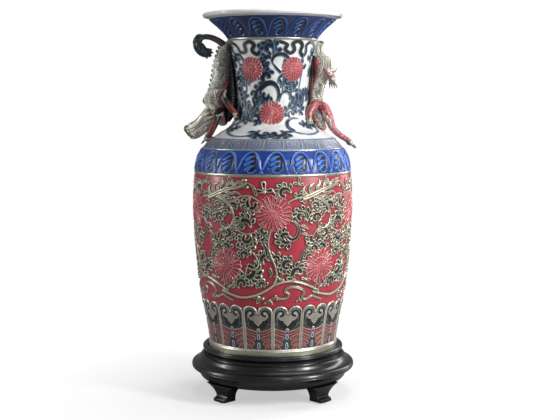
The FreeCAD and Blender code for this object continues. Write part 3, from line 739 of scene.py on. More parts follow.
BLUE_LEAF = (ridge(SLATE, SLATE * 0.35, rise=2.7, round_off=1.4, metal=0.1),
             floor_fill(INK, INK * 0.6, 1.0), 1.05)
BLUE_VINE = ridge(SLATE, INK, rise=2.2, round_off=1.8, metal=0.1)
RIBBON = enamel(BOTTLE * 2.2, COAL, rim_width=0.9, rise=2.2, floor=1.6, metal=0.1)
# Half of the neck, in millimetres: x along the wall from the lower flower, y up it from the neck's foot.
# Scrolls as above.
NECK_RIBBONS = [
    [(-99, 221), (-80, 213), (-71, 200), (-56, 201), (-57, 214), (-46, 221), (-36, 214), (-41, 202),
     (-31, 194), (-24, 204), (-26, 213), (-14, 218), (-4, 222)],
    [(6, 222), (17, 219), (27, 214), (24, 204), (35, 197), (43, 204), (39, 216), (49, 222), (60, 214),
     (58, 200), (66, 192), (74, 200), (72, 214), (84, 221), (100, 218), (112, 206), (126, 214)],
]
NECK_SCROLLS = [
    (2, 196, 80, 1, 24, 4, 5.5), (-2, 186, 160, 1, 21, 4, 4.9), (-8, 174, 220, -1, 18, 4, 4.7),
    (-14, 136, 140, -1, 23, 4, 5.5), (-26, 122, 200, 1, 24, 4, 5.5), (-8, 112, 250, -1, 18, 4, 4.7),
    (18, 128, 60, -1, 22, 4, 4.9), (46, 118, 60, 1, 21, 4, 4.9), (44, 104, -60, 1, 24, 4, 4.9),
    (36, 66, 110, -1, 20, 4, 4.7), (62, 78, 20, 1, 22, 4, 4.9), (70, 160, 100, 1, 24, 4, 5.2),
    (68, 122, -60, -1, 24, 4, 5.2), (-56, 132, 100, 1, 23, 4, 5.2), (-60, 110, 200, 1, 24, 4, 5.2),
    (-46, 100, -60, -1, 24, 4, 5.2), (-66, 76, -100, 1, 22, 4, 4.9), (-44, 66, 20, -1, 20, 4, 4.4),
    (-22, 28, 250, 1, 24, 5, 4.9), (14, 28, -70, -1, 24, 5, 4.9), (-82, 176, 120, 1, 24, 4, 5.2),
    (100, 180, 100, -1, 27, 4, 5.5), (104, 130, -80, 1, 27, 5, 5.5), (-104, 130, 90, -1, 27, 4, 5.5),
    (-100, 90, -80, -1, 24, 4, 5.5), (98, 80, -70, 1, 24, 4, 5.2), (-70, 52, 60, 1, 17, 4, 4.4),
    (60, 40, 60, -1, 16, 4, 4.2), (-72, 24, 150, -1, 15, 3, 3.9), (86, 40, 20, 1, 17, 4, 4.2),
    (22, 172, 20, -1, 18, 4, 4.6), (-66, 150, 60, 1, 20, 4, 4.8), (56, 140, 120, 1, 20, 4, 4.8),
    (-90, 110, 60, 1, 18, 4, 4.6), (-84, 60, 60, 1, 18, 4, 4.4), (90, 100, 60, 1, 20, 4, 4.6),
    (112, 60, 90, -1, 18, 4, 4.4), (30, 146, 100, -1, 17, 4, 4.4), (-118, 200, 90, -1, 18, 4, 4.4),
    (118, 150, 90, 1, 20, 4, 4.6), (-120, 150, 90, 1, 18, 4, 4.4),
]
NECK_COMMAS = [
    ([(2, 172), (-1, 182), (6, 192), (20, 194), (31, 186)], 5.0), ([(0, 178), (6, 168), (15, 158)], 3.6),
    ([(9, 98), (13, 112), (10, 126), (0, 135), (-14, 134), (-28, 124)], 6.4),
    ([(14, 100), (18, 112), (28, 118), (40, 112), (41, 104)], 4.2),
    ([(10, 138), (14, 146), (18, 150)], 3.2), ([(20, 128), (26, 136), (28, 142)], 3.2),
    ([(57, 62), (40, 62), (29, 54), (28, 40), (34, 30)], 4.4),
    ([(-50, 56), (-72, 52), (-92, 42), (-92, 28)], 4.4),
    ([(-104, 183), (-94, 192), (-78, 194), (-68, 184)], 4.4),
]
NECK_VINES = [
    ([(28, 44), (32, 26), (48, 15), (68, 15), (88, 24), (100, 38), (112, 40)], [2.4, 2.8, 1.6]),
    ([(-92, 40), (-84, 22), (-60, 8), (-41, 8), (-30, 17), (-22, 30)], [2.4, 2.8, 1.8]),
    ([(72, 206), (68, 186), (70, 160), (66, 134), (62, 110), (70, 88), (64, 70)], [1.8, 2.4, 1.8]),
    ([(-76, 170), (-66, 150), (-64, 124), (-70, 100), (-66, 76)], [1.8, 2.4, 1.8]),
    ([(4, 198), (2, 212), (1, 222)], [2.2, 1.4]), ([(14, 98), (22, 120), (20, 140)], [1.6, 1.4]),
]


def paint_neck(chart):
    """Half of the white neck: slate scrolls round three flowers, under a dark cloud ribbon."""
    for ribbon in NECK_RIBBONS:
        chart.stroke(ribbon, [3.6, 4.6, 3.6], RIBBON)
    for x, y, heading, hand, size, lobes, wide in NECK_SCROLLS:
        acanthus(chart, x, y, heading, hand, size * 1.25, lobes + 1, wide * 1.1, BLUE_LEAF)
    for points, wide in NECK_COMMAS:
        comma(chart, points, wide, BLUE_LEAF)
    for points, widths in NECK_VINES:
        chart.stroke(points, widths, BLUE_VINE)
    chart.shade_hollows_light_edges(0.45)


# ------------------------------------------------------------------ materials


def new_material(name):
    material = bpy.data.materials.new(name)
    material.use_nodes = True
    nodes, links = material.node_tree.nodes, material.node_tree.links
    return material, nodes, links, nodes["Principled BSDF"]


def noise(nodes, links, scale, detail=4.0):
    place = nodes.new("ShaderNodeTexCoord")
    node = nodes.new("ShaderNodeTexNoise")
    node.inputs["Scale"].default_value = scale
    node.inputs["Detail"].default_value = detail
    node.inputs["Roughness"].default_value = 0.5
    links.new(place.outputs["Object"], node.inputs["Vector"])
    return node.outputs["Fac"]


def remap(nodes, links, source, low, high, from_low=0.3, from_high=0.7):
    node = nodes.new("ShaderNodeMapRange")
    limits = {"From Min": from_low, "From Max": from_high, "To Min": low, "To Max": high}
    for socket, value in limits.items():
        node.inputs[socket].default_value = value
    links.new(source, node.inputs["Value"])
    return node.outputs["Result"]


def scaled_colour(nodes, links, colour, factor):
    node = nodes.new("ShaderNodeVectorMath")
    node.operation = "SCALE"
    links.new(colour, node.inputs[0])
    links.new(factor, node.inputs["Scale"])
    return node.outputs["Vector"]


def product(nodes, links, first, second):
    node = nodes.new("ShaderNodeMath")
    node.operation = "MULTIPLY"
    links.new(first, node.inputs[0])
    links.new(second, node.inputs[1])
    return node.outputs[0]


def add_bump(nodes, links, shader, source, strength, distance):
    bump = nodes.new("ShaderNodeBump")
    bump.inputs["Strength"].default_value = strength
    bump.inputs["Distance"].default_value = distance
    links.new(source, bump.inputs["Height"])
    links.new(bump.outputs["Normal"], shader.inputs["Normal"])


def relief_material():
    """Enamel and silver lustre: colour and metal come from the painted layers of the mesh."""
    material, nodes, links, shader = new_material("painted_relief")
    paint = nodes.new("ShaderNodeAttribute")
    paint.attribute_name = "paint"
    metal = nodes.new("ShaderNodeAttribute")
    metal.attribute_name = "metal"
    mottle = remap(nodes, links, noise(nodes, links, 55), 0.86, 1.12)
    links.new(scaled_colour(nodes, links, paint.outputs["Color"], mottle), shader.inputs["Base Color"])
    metallic = nodes.new("ShaderNodeMath")
    metallic.operation = "MULTIPLY"
    metallic.inputs[1].default_value = 0.7
    links.new(metal.outputs["Fac"], metallic.inputs[0])
    links.new(metallic.outputs[0], shader.inputs["Metallic"])
    links.new(remap(nodes, links, noise(nodes, links, 140), 0.32, 0.44), shader.inputs["Roughness"])
    add_bump(nodes, links, shader, noise(nodes, links, 900, 2), 0.25, 0.0004)
    shader.inputs["Coat Weight"].default_value = 0.25
    shader.inputs["Coat Roughness"].default_value = 0.2
    return material


def plain_material(name, colour, variation, roughness, metallic=0.0, coat=0.0, scale=40.0, bump=0.1,
                   uneven=0.2):
    """One colour with a soft mottle, uneven gloss and a fine surface."""
    material, nodes, links, shader = new_material(name)
    ramp = nodes.new("ShaderNodeValToRGB")
    ramp.color_ramp.elements[0].color = (*(colour * (1 - variation)), 1)
    ramp.color_ramp.elements[1].color = (*(colour * (1 + variation)), 1)
    ramp.color_ramp.elements[0].position = 0.3
    ramp.color_ramp.elements[1].position = 0.7
    links.new(noise(nodes, links, scale), ramp.inputs["Fac"])
    links.new(ramp.outputs["Color"], shader.inputs["Base Color"])
    patches = noise(nodes, links, scale * 3)
    gloss = remap(nodes, links, patches, roughness * (1 - uneven), roughness * (1 + uneven))
    links.new(gloss, shader.inputs["Roughness"])
    add_bump(nodes, links, shader, noise(nodes, links, scale * 14, 2), bump, 0.0004)
    shader.inputs["Metallic"].default_value = metallic
    shader.inputs["Coat Weight"].default_value = coat
    return material


def floor_material():
    """White paper: it takes the shadow near the vase and fades into the backdrop further off."""
    material, nodes, links, shader = new_material("studio_floor")
    seen = nodes.new("ShaderNodeLightPath")
    tone = remap(nodes, links, noise(nodes, links, 3), 0.90, 0.93)
    dim = remap(nodes, links, seen.outputs["Is Camera Ray"], 0.35, 1.0, 0.0, 1.0)
    shade = product(nodes, links, tone, dim)
    white = nodes.new("ShaderNodeCombineColor")
    for socket in ("Red", "Green", "Blue"):
        links.new(shade, white.inputs[socket])
    links.new(white.outputs["Color"], shader.inputs["Base Color"])
    shader.inputs["Roughness"].default_value = 0.8
    shader.inputs["Specular IOR Level"].default_value = 0.1
    place = nodes.new("ShaderNodeTexCoord")
    away = nodes.new("ShaderNodeVectorMath")
    away.operation = "LENGTH"
    links.new(place.outputs["Object"], away.inputs[0])
    far = remap(nodes, links, away.outputs["Value"], 0.50, 1.0, from_low=0.20, from_high=0.50)
    share = product(nodes, links, far, seen.outputs["Is Camera Ray"])
    glow = nodes.new("ShaderNodeEmission")
    glow.inputs["Color"].default_value = (1, 1, 1, 1)
    mix = nodes.new("ShaderNodeMixShader")
    links.new(share, mix.inputs["Fac"])
    links.new(shader.outputs["BSDF"], mix.inputs[1])
    links.new(glow.outputs["Emission"], mix.inputs[2])
    links.new(mix.outputs["Shader"], nodes["Material Output"].inputs["Surface"])
    return material


RELIEF = relief_material()
GLAZE = plain_material("white_glaze", WHITE, 0.03, 0.22, coat=0.5)
LUSTRE = plain_material("silver_lustre", SILVER * 0.8, 0.12, 0.34, metallic=0.85)
LACQUER = plain_material("black_lacquer", srgb(12, 12, 13), 0.12, 0.3, coat=0.2, scale=60, bump=0.03,
                         uneven=0.06)
BEECH = plain_material("beech", srgb(170, 130, 84), 0.12, 0.6)
FELT = plain_material("black_felt", srgb(24, 24, 26), 0.3, 0.95, scale=300, bump=0.6)


# ------------------------------------------------------------------ applied flowers


def petal_edge(turn, size, petals):
    """How far the flower reaches in each direction: round-ended petals side by side."""
    pitch = FULL_TURN / petals
    off_axis = (turn / pitch % 1 - 0.5) * pitch
    cap = size * 0.90
    tip_half = cap * math.tan(pitch / 2) * 0.96
    return cap * np.cos(off_axis) + np.sqrt(np.maximum(tip_half ** 2 - (cap * np.sin(off_axis)) ** 2, 0))


def petal_depth(rho, theta, count, reach, phase):
    """How far inside its petal each point lies, for a ring of round-ended petals."""
    step = FULL_TURN / count
    aside = ((theta / step + phase) % 1 - 0.5) * step
    end = reach * 0.93
    tip = end * math.tan(step / 2)
    side = np.abs(rho * np.sin(aside)) - rho * math.tan(step / 2)
    round_end = np.hypot(rho * np.cos(aside) - end, rho * np.sin(aside)) - tip
    return -np.where(rho * np.cos(aside) > end, round_end, side)


def flower_surface(rho, theta, size, petals, heart):
    """Relief, paint and metal of two rings of petals round a barred centre."""
    outer = petal_depth(rho, theta, petals, size * 0.97, 0.0)
    inner = petal_depth(rho, theta, heart, size * 0.46, 0.5)
    centre = size * 0.16 - rho
    dome = 3.6 - 1.3 * (rho / size) ** 2
    line = 0.62 + size * 0.008
    lift = dome - 1.6 * (1 - ease(0, line * 1.6, outer)) - 0.8 * ease(line * 1.8, line * 3.2, outer)
    rim = ease(line * 0.25, line * 0.6, outer) * (1 - ease(line * 1.1, line * 1.7, outer))
    gap = 1 - ease(line * 0.1, line * 0.7, outer)
    inside = ease(-0.1, 0.2, inner)
    step_up = dome + 0.9 - 1.4 * (1 - ease(0, line * 1.4, inner)) - 0.7 * ease(line * 1.6, line * 2.8, inner)
    lift = np.where(inner > 0, step_up, lift)
    inner_rim = ease(line * 0.2, line * 0.5, inner) * (1 - ease(line * 0.8, line * 1.4, inner))
    rim = np.where(inner > 0, inner_rim, rim)
    gap = np.where(inner > 0, 1 - ease(line * 0.1, line * 0.5, inner), gap)
    bars = 0.5 + 0.5 * np.cos(rho * np.sin(theta) * FULL_TURN / 1.9)
    lift = np.where(centre > 0, dome + 0.9 + 0.6 * bars, lift)
    gap = np.where(centre > 0, 0.7 * (1 - bars), gap)
    rim = np.where(centre > 0, bars * 0.8, rim)
    paint = blend(blend(CRIMSON_PETAL, BLUSH, rim), PETAL_GAP, 0.85 * gap)
    return lift, paint * (0.85 + 0.15 * inside[..., None]), 0.25 * rim


def flower(name, angle, height, size, petals, heart, replaces):
    """A chrysanthemum sprig that follows the wall."""
    around, across = petals * 14, 46
    start = length_at(height)
    radius = np.interp(start, WALL_LENGTH, WALL_POINTS[:, 0])
    turn = np.linspace(0, FULL_TURN, around + 1)
    share = np.linspace(0.02, 1, across)[:, None]
    rho = share * petal_edge(turn, size, petals)[None, :]
    theta = turn[None, :] + 0 * rho
    lift, paint, metal = flower_surface(rho, theta, size, petals, heart)
    lift *= 1 - 0.7 * ease(0.975, 1.0, share)
    where = math.radians(angle) + rho * np.sin(theta) / radius
    length = start + rho * np.cos(theta)
    front = on_wall(length, where, lift + 0.3)[::-1]
    rear = on_wall(length, where, np.full_like(lift, -0.4))[::-1]
    piece = closed_sheet(name, front, rear, paint[::-1], metal[::-1], step=15)
    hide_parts(replaces)


def bead(name, height, half, proud, material):
    """A plain rounded cord round the wall."""
    start = length_at(height)
    steps = np.linspace(-1, 1, 15)
    outline = []
    for step in steps:
        lift = proud * math.sqrt(max(0.0, 1 - step * step)) + 0.3
        place = on_wall(np.array([start + step * half]), np.array([math.pi / 2]), lift)[0]
        outline.append((place[0] / MM, place[2] / MM))
    for step in (1, -1):
        place = on_wall(np.array([start + step * half]), np.array([math.pi / 2]), -1.0)[0]
        outline.append((place[0] / MM, place[2] / MM))
    lathe(name, outline, 360, material)


def make_vase():
    band("lappets", 113.0, 217.5, 15, 0.75, CRIMSON, paint_lappet, turn=12.3)
    band("crimson_field", FIELD_LOW, FIELD_HIGH, 5, 0.8, CRIMSON, paint_field, turn=0.6, reference=162.0)
    band("blue_band", 473.0, 520.5, 20, 0.8, COBALT, paint_waves(COBALT, COBALT_LIGHT), turn=2.0)
    band("key_band", 521.5, 543.0, 22, 0.7, LAVENDER, paint_key, turn=1.2)
    band("neck", 543.5, 744.0, 2, 0.8, WHITE, paint_neck, turn=0.7, reference=80.0)
    band("mouth_band", 747.5, 788.3, 16, 0.75, NAVY, paint_waves(MARINE, COBALT_LIGHT * 0.6), turn=6.0)
    lathe("silver_foot_ring", rounded([
        (125, 98.2, 0), (136.4, 98.2, 1.2), (137.4, 101, 1.5), (136.9, 108, 2), (137.2, 112, 1.5),
        (135.6, 115, 1.5), (133.0, 116, 0), (125, 112, 0),
    ]), 320, LUSTRE)
    bead("silver_bead_shoulder", 472.0, 3.4, 2.6, LUSTRE)
    bead("silver_line_key_low", 521.3, 1.7, 1.6, LUSTRE)
    bead("silver_bead_neck", 745.8, 3.4, 2.6, LUSTRE)
    for number in range(5):
        flower(f"body_flower_high_{number + 1}", 72 * number + 0.8, 398, 37, 22, 14, "body_flowers_upper")
        flower(f"body_flower_low_{number + 1}", 72 * number + 36.6, 290, 36, 22, 14, "body_flowers_lower")
    for half in (0, 180):
        flower(f"neck_flower_low_{half}", half - 0.7, 594, 25, 20, 12, "neck_flowers_lower")
        for hand in (-1, 1):
            name = f"neck_flower_high_{half + hand}"
            flower(name, half + 33 * hand, 684, 25, 20, 12, "neck_flowers_upper")


# ------------------------------------------------------------------ dragon skins


class Skin:
    """Closed painted surfaces that together make one piece."""

    def __init__(self):
        self.points, self.faces, self.paint, self.metal = [], [], [], []
        self.total = 0

    def add(self, points, faces, paint, metal):
        self.faces += [np.asarray(face) + self.total for face in faces]
        self.points.append(points)
        self.paint.append(paint)
        self.metal.append(metal)
        self.total += len(points)

    def piece(self, name, node, slot):
        corners = np.concatenate([face.ravel() for face in self.faces])
        sizes = np.concatenate([np.full(len(face), face.shape[1]) for face in self.faces])
        mesh = raw_mesh(name, np.vstack(self.points) * MM, corners, sizes)
        put_attribute(mesh, "paint", np.clip(np.vstack(self.paint), 0, 1))
        put_attribute(mesh, "metal", np.concatenate(self.metal))
        thing = finish_mesh(name, mesh, "vase")
        thing.data.materials.append(RELIEF)
        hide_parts(node)
        return thing


def even_path(path, cell):
    """The smooth path cut into even steps: run, centre and share of the girth."""
    rows = spline(path)
    run = np.concatenate([[0], np.cumsum(np.linalg.norm(np.diff(rows[:, :3], axis=0), axis=1))])
    along = np.linspace(0, run[-1], max(6, int(run[-1] / cell)) + 1)
    centre = np.column_stack([np.interp(along, run, rows[:, k]) for k in range(3)])
    return along, centre, np.interp(along, run, rows[:, 3])


def end_angles(radius, cell):
    """Angles of the rings that round off an end."""
    count = max(3, int(radius * 1.3 / cell))
    return np.arange(1, count) / count * math.pi / 2


def outward_axes(ahead, dorsal):
    """A direction square to each step of the limb, carried along it without twist."""
    out, outs = np.array(dorsal, float), []
    for direction in ahead:
        out = out - direction * (out @ direction)
        out = out / np.linalg.norm(out)
        outs.append(out)
    return np.array(outs)


def tube_faces(rings, around):
    """Quads between the rings and a fan at each pole; the poles are the last two points."""
    count = rings * around
    index = np.arange(count).reshape(rings, around)
    following = np.roll(index, -1, axis=1)
    quads = np.stack([index[:-1], following[:-1], following[1:], index[1:]], axis=-1).reshape(-1, 4)
    low = np.stack([np.full(around, count), following[0], index[0]], axis=-1)
    high = np.stack([np.full(around, count + 1), index[-1], following[-1]], axis=-1)
    return [quads, low, high]


def tube(skin, path, girth, look, cell=0.8, dorsal=(1, 0, 0), aside=1.0, square=2.0, swell=(), blunt=0.8):
    """A closed limb along rows (x, y, z, share); look gives relief, paint and metal on its surface."""
    along, centre, share = even_path(path, cell)
    radius = share * girth
    ahead = np.gradient(centre, axis=0)
    ahead /= np.linalg.norm(ahead, axis=1)[:, None]
    first, last = end_angles(radius[0], cell), end_angles(radius[-1], cell)[::-1]
    push = blunt * radius[0] * np.cos(first)[:, None] * ahead[0]
    pull = blunt * radius[-1] * np.cos(last)[:, None] * ahead[-1]
    centre = np.vstack([centre[0] - push, centre, centre[-1] + pull])
    poles = np.array([centre[len(first)] - blunt * radius[0] * ahead[0],
                      centre[-1 - len(last)] + blunt * radius[-1] * ahead[-1]])
    fade = np.concatenate([np.sin(first), np.ones(len(radius)), np.sin(last)])
    along = np.concatenate([radius[0] * (first - math.pi / 2), along,
                            along[-1] + radius[-1] * (math.pi / 2 - last)])
    radius = np.concatenate([radius[0] * np.sin(first), radius, radius[-1] * np.sin(last)])
    ahead = np.vstack([np.tile(ahead[0], (len(first), 1)), ahead, np.tile(ahead[-1], (len(last), 1))])
    outs = outward_axes(ahead, dorsal)
    side = np.cross(ahead, outs)
    around = max(10, int(FULL_TURN * radius.max() / cell))
    turn = np.arange(around) * FULL_TURN / around
    rise, paint, metal = look(along[:, None], turn[None, :], radius[:, None])
    corner = (np.abs(np.cos(turn)) ** square + np.abs(np.sin(turn)) ** square) ** (-1 / square)
    reach = (radius[:, None] * corner + rise * fade[:, None])[..., None]
    way = np.cos(turn)[None, :, None] * outs[:, None] + aside * np.sin(turn)[None, :, None] * side[:, None]
    points = centre[:, None] + reach * way
    for x, y, z, size, strength in swell:
        gap = np.linalg.norm(points - [x, y, z], axis=2)
        points = points + (strength * np.exp(-(gap / size) ** 2) * fade[:, None])[..., None] * way
    rings = len(points)
    paint = np.broadcast_to(paint, (rings, around, 3)).reshape(-1, 3)
    metal = np.broadcast_to(metal, (rings, around)).ravel()
    skin.add(np.vstack([points.reshape(-1, 3), poles]), tube_faces(rings, around),
             np.vstack([paint, paint[0], paint[-1]]), np.append(metal, [metal[0], metal[-1]]))


def hide(scale, gap, belly=None, *, row, around, lift, belly_half=0.7, plate=5.0, metal=0.75):
    """Overlapping scales on the back and flanks, with broad plates along the belly."""
    def look(along, turn, radius):
        u, v = along / row, turn / FULL_TURN * around
        step = u - np.floor(u)
        upper = (np.floor(u) - 1) % 2 * 0.5
        offset = v + upper - np.round(v + upper)
        reach = 0.55 - 1.9 * offset ** 2
        over = 1 - ease(reach - 0.14, reach + 0.14, step)
        height = over * (1 + step) / 1.5 + (1 - over) * step / 1.5
        beside = v + 0.5 - upper - np.round(v + 0.5 - upper)
        seam = np.exp(-((0.5 - np.abs(beside)) / 0.09) ** 2) * (1 - over)
        height = height - 0.5 * seam
        row_number = np.floor(u) - (over > 0.5)
        column = np.where(over > 0.5, np.round(v + upper), np.round(v + 0.5 - upper)) % around
        chance = np.sin(row_number * 12.9898 + column * 78.233) * 43758.5453
        worn = 0.42 + 0.9 * (chance - np.floor(chance)) ** 1.3
        paint = blend(gap, np.clip(scale * worn[..., None], 0, 1), ease(0.0, 0.75, height))
        shine = metal * ease(0.1, 0.7, height)
        rise = lift * height * np.clip(radius / 8, 0.25, 1)
        if belly is not None:
            under = 1 - ease(belly_half, belly_half + 0.1, np.abs(turn - math.pi) + 0 * along)
            slab = along / plate - np.floor(along / plate) + 0 * turn
            band_height = 0.9 - 0.8 * np.exp(-(slab / 0.16) ** 2) - 0.4 * slab
            rise = rise * (1 - under) + under * lift * band_height
            tone = blend(belly * 0.45, belly, ease(0.1, 0.7, band_height))
            paint = blend(paint, tone, under)
            shine = shine * (1 - under) + 0.15 * under
        return rise, paint, shine
    return look


def two_tone(first, second, start, end):
    """Changes from one look to another over a stretch of the limb."""
    def look(along, turn, radius):
        share = ease(start, end, along + 0 * turn)
        pairs = zip(first(along, turn, radius), second(along, turn, radius))
        return tuple(a + (b - a) * (share if np.ndim(a) == 2 else share[..., None]) for a, b in pairs)
    return look


def flank(scales):
    """The long torso: scales outside, a rose fold below the shoulder, painted shade that darkens the flank
    away from the back, and a dark inner side that is painted shade.
    """
    def look(along, turn, radius):
        rise, paint, metal = scales(along, turn, radius)
        away = np.minimum(turn, FULL_TURN - turn) + 0 * along
        border = 2.45 - 0.85 * ease(55, 105, along)
        fold = ease(border, border + 0.06, away)
        inner = ease(border + 0.42, border + 0.5, away)
        rings = 0.5 + 0.5 * np.cos(along / 5.0 * FULL_TURN) + 0 * turn
        rose = blend(RUST * 0.8, ROSE, ease(70, 110, along) * (0.75 + 0.25 * rings))
        # painted shade: the flank darkens the further it turns from the back
        paint = paint * (1 - 0.85 * ease(0.7, 2.0, away))[..., None]
        paint = blend(paint, rose, fold)
        # painted shade: the inner side towards the vase's neck turns near black
        paint = blend(paint, COAL * (0.8 + 1.2 * rings[..., None]), inner)
        rise = rise * (1 - fold) + (0.6 * rings - 0.3) * fold
        return rise, paint, metal * (1 - fold)
    return look


def strands(light, dark, count, depth, twist=0.0, metal=0.25):
    """Hair or flame locks: grooves that run along the limb."""
    def look(along, turn, radius):
        wave = 0.5 + 0.5 * np.cos(turn * count + along * twist)
        return depth * wave * np.clip(radius / 5, 0.1, 1), blend(dark, light, wave ** 0.8), metal * wave
    return look


def ribbed(light, dark, pitch, depth, metal=0.3):
    """Rings across the limb, as on a horn."""
    def look(along, turn, radius):
        wave = 0.5 + 0.5 * np.cos(along / pitch * FULL_TURN) + 0 * turn
        rise = depth * wave * np.clip(radius / 5, 0.1, 1)
        return rise, blend(dark, light, 0.25 + 0.75 * wave), metal * wave
    return look


def smooth(colour, dark, metal=0.0):
    """A surface with painted shade that makes it darker underneath."""
    def look(along, turn, radius):
        under = 0.5 - 0.5 * np.cos(turn) + 0 * along
        return 0 * under, blend(colour, dark, 0.7 * under), metal + 0 * under
    return look


def skull(along, turn, radius):
    """The flat cheek of the head: two creases run along it to the nostril."""
    side = np.abs(np.abs(np.where(turn > math.pi, turn - FULL_TURN, turn)) - math.pi / 2) + 0 * along
    crease = np.exp(-((side - 0.34 + 0.0018 * along) / 0.085) ** 2)
    slot = np.exp(-(side / 0.10) ** 2) * ease(26, 34, along) * (1 - ease(52, 62, along))
    pits = 0.5 + 0.5 * np.cos(along * 1.9) * np.cos(turn * 13)
    rise = 1.3 * np.exp(-((side - 0.52) / 0.12) ** 2) - 1.2 * crease - 0.9 * slot + 0.25 * pits
    paint = blend(CREAM * (0.86 + 0.14 * pits[..., None]), TARNISH, np.clip(crease * 0.9 + slot * 0.8, 0, 1))
    return rise, paint, 0.35 * (1 - crease)


# ------------------------------------------------------------------ dragon heads and paws


class Stance:
    """Where a model drawn at the origin, snout along x and crown along z, stands in the scene."""

    def __init__(self, origin, forward, crown, scale):
        forward = np.array(forward, float)
        forward /= np.linalg.norm(forward)
        crown = np.array(crown, float) - forward * (forward @ np.array(crown, float))
        crown /= np.linalg.norm(crown)
        self.axes = np.array([forward, np.cross(crown, forward), crown])
        self.origin, self.scale = np.array(origin, float), scale

    def rows(self, path):
        return [(*(self.origin + self.scale * np.array(row[:3]) @ self.axes), row[3]) for row in path]

    def bumps(self, swell):
        return [(*(self.origin + self.scale * np.array(row[:3]) @ self.axes), row[3] * self.scale,
                 row[4] * self.scale) for row in swell]


def head_side(part, head, horns, y, scale):
    """Nostril roll, eye, brow, mane, teeth, whisker and horn on the side y (-1 or 1) of a head."""
    part(head, [(33, 8 * y, 11, 0.9), (37.5, 9.5 * y, 7, 1.2), (38.5, 9.5 * y, 0, 0.9),
                (37, 9 * y, -8, 1.0), (33, 7 * y, -12, 0.7)], 3.6,
         strands(OLD_SILVER, TARNISH * 0.6, 5, 0.5))
    part(head, [(35, 6 * y, 10, 1.0), (38, 4 * y, 9, 0.9)], 4.4, smooth(CREAM, TARNISH, 0.3))
    part(head, [(-13, 11.2 * y, 7.5, 1.0), (-10, 11.2 * y, 7.5, 1.0)], 3.0, smooth(COAL, COAL))
    part(head, [(-13, 12.5 * y, 7.8, 1.0), (-10.5, 12.7 * y, 7.8, 1.0)], 1.7, smooth(PEARL, PEARL, 0.2))
    part(head, [(-3, 11 * y, 9, 0.5), (-9, 12.5 * y, 12.5, 1.0), (-17, 12 * y, 13, 1.1),
                (-26, 12 * y, 17, 0.25)], 2.5, strands(CREAM, TARNISH, 5, 0.6))
    for number in range(5):
        low = 9 - 5.5 * number
        part(head, [(-24, 11 * y, low, 0.8), (-32, 14.5 * y, low + 1, 1.15), (-42, 16 * y, low + 3, 0.8),
                    (-52, 14 * y, low + 7, 0.2)], 2.9, strands(CREAM, TARNISH * 0.7, 5, 0.7, 0.05))
    for number in range(5):
        x = 6 + 6.3 * number
        size = 1.5 if number == 4 else 1.0
        part(head, [(x, 8.2 * y, -9.5, 1.0), (x + 0.5, 8.4 * y, -12.5, 0.8),
                    (x - 0.5, 8 * y, -13 - 1.8 * size, 0.2)], 1.35 * size, smooth(PEARL, CREAM))
    part(head, [(34, 10 * y, 9, 0.8), (26, 15 * y, 12, 1.0), (10, 18 * y, 12, 0.8), (-8, 18 * y, 17, 0.6),
                (-26, 15 * y, 25, 0.2)], 1.5, smooth(SILVER, TARNISH, 0.6))
    part(horns, [(-6, 8.5 * y, 8, 1.0), (-14, 11 * y, 13, 1.0), (-24, 13 * y, 17, 0.75),
                 (-36, 14 * y, 21, 0.45), (-46, 12.5 * y, 28, 0.15)], 3.7,
         ribbed(CREAM, TARNISH, 2.6 * scale, 0.6))
    part(horns, [(-14, 9.5 * y, 6, 1.0), (-22, 13.5 * y, 5, 0.9), (-28, 15 * y, 8, 0.2)], 3.0,
         strands(ROSE, ROSE_DARK, 4, 0.4))


def lower_jaw(part, jaw, scale):
    """The jaw with its tongue, teeth and beard."""
    part(jaw, [(-10, 0, -9, 0.8), (4, 0, -14, 1.0), (18, 0, -16, 0.95), (30, 0, -15.5, 0.85),
               (38, 0, -13.5, 0.5)], 7.6, ribbed(CREAM, TARNISH, 5.0 * scale, 0.4), aside=1.15, square=2.6)
    part(jaw, [(-6, 0, -7, 0.8), (14, 0, -9.5, 1.0), (30, 0, -9.5, 0.8), (37, 0, -8, 0.4)], 3.4,
         smooth(ROSE, ROSE_DARK))
    for y in (-1, 1):
        for number in range(4):
            x = 12 + 7 * number
            part(jaw, [(x, 6.6 * y, -12, 1.0), (x, 6.8 * y, -9.5, 0.7), (x - 0.5, 6.8 * y, -8, 0.2)], 1.3,
                 smooth(PEARL, CREAM))
        for number in range(3):
            part(jaw, [(2 - 5 * number, 6 * y, -15, 0.8), (-6 - 5 * number, 9 * y, -19, 1.1),
                       (-16 - 5 * number, 10 * y, -18, 0.2)], 2.4, strands(SILVER, TARNISH, 5, 0.6))


def dragon_head(prefix, stance, cell):
    """Three pieces: the skull with what it carries, the horns and the jaw."""
    head, horns, jaw = Skin(), Skin(), Skin()

    def part(skin, path, girth, look, **more):
        tube(skin, stance.rows(path), girth * stance.scale, look, cell=cell, dorsal=stance.axes[2], **more)

    swell = []
    for y in (-1, 1):
        swell += [(-12, 9 * y, 11, 7, 4.0), (-16, 13 * y, -3, 9, 3.0), (30, 8 * y, 8, 6, 2.6),
                  (8, 10 * y, 6, 7, -1.6)]
    part(head, [(-36, 0, 2, 0.80), (-24, 0, 2, 1.0), (-8, 0, 2, 1.0), (8, 0, -0.5, 0.86),
                (22, 0, -1.5, 0.80), (33, 0, -1, 0.80), (36, 0, -1, 0.76)], 14.5, skull,
         square=3.6, aside=0.86, swell=stance.bumps(swell), blunt=0.25)
    for y in (-1, 1):
        head_side(part, head, horns, y, stance.scale)
    lower_jaw(part, jaw, stance.scale)
    head.piece(f"{prefix}_head_skin", f"{prefix}_head", "silvered_porcelain")
    horns.piece(f"{prefix}_horn_skin", f"{prefix}_horns", "silvered_porcelain")
    jaw.piece(f"{prefix}_jaw_skin", f"{prefix}_jaw", "silvered_porcelain")


def unit(vector):
    vector = np.array(vector, float)
    return vector / np.linalg.norm(vector)


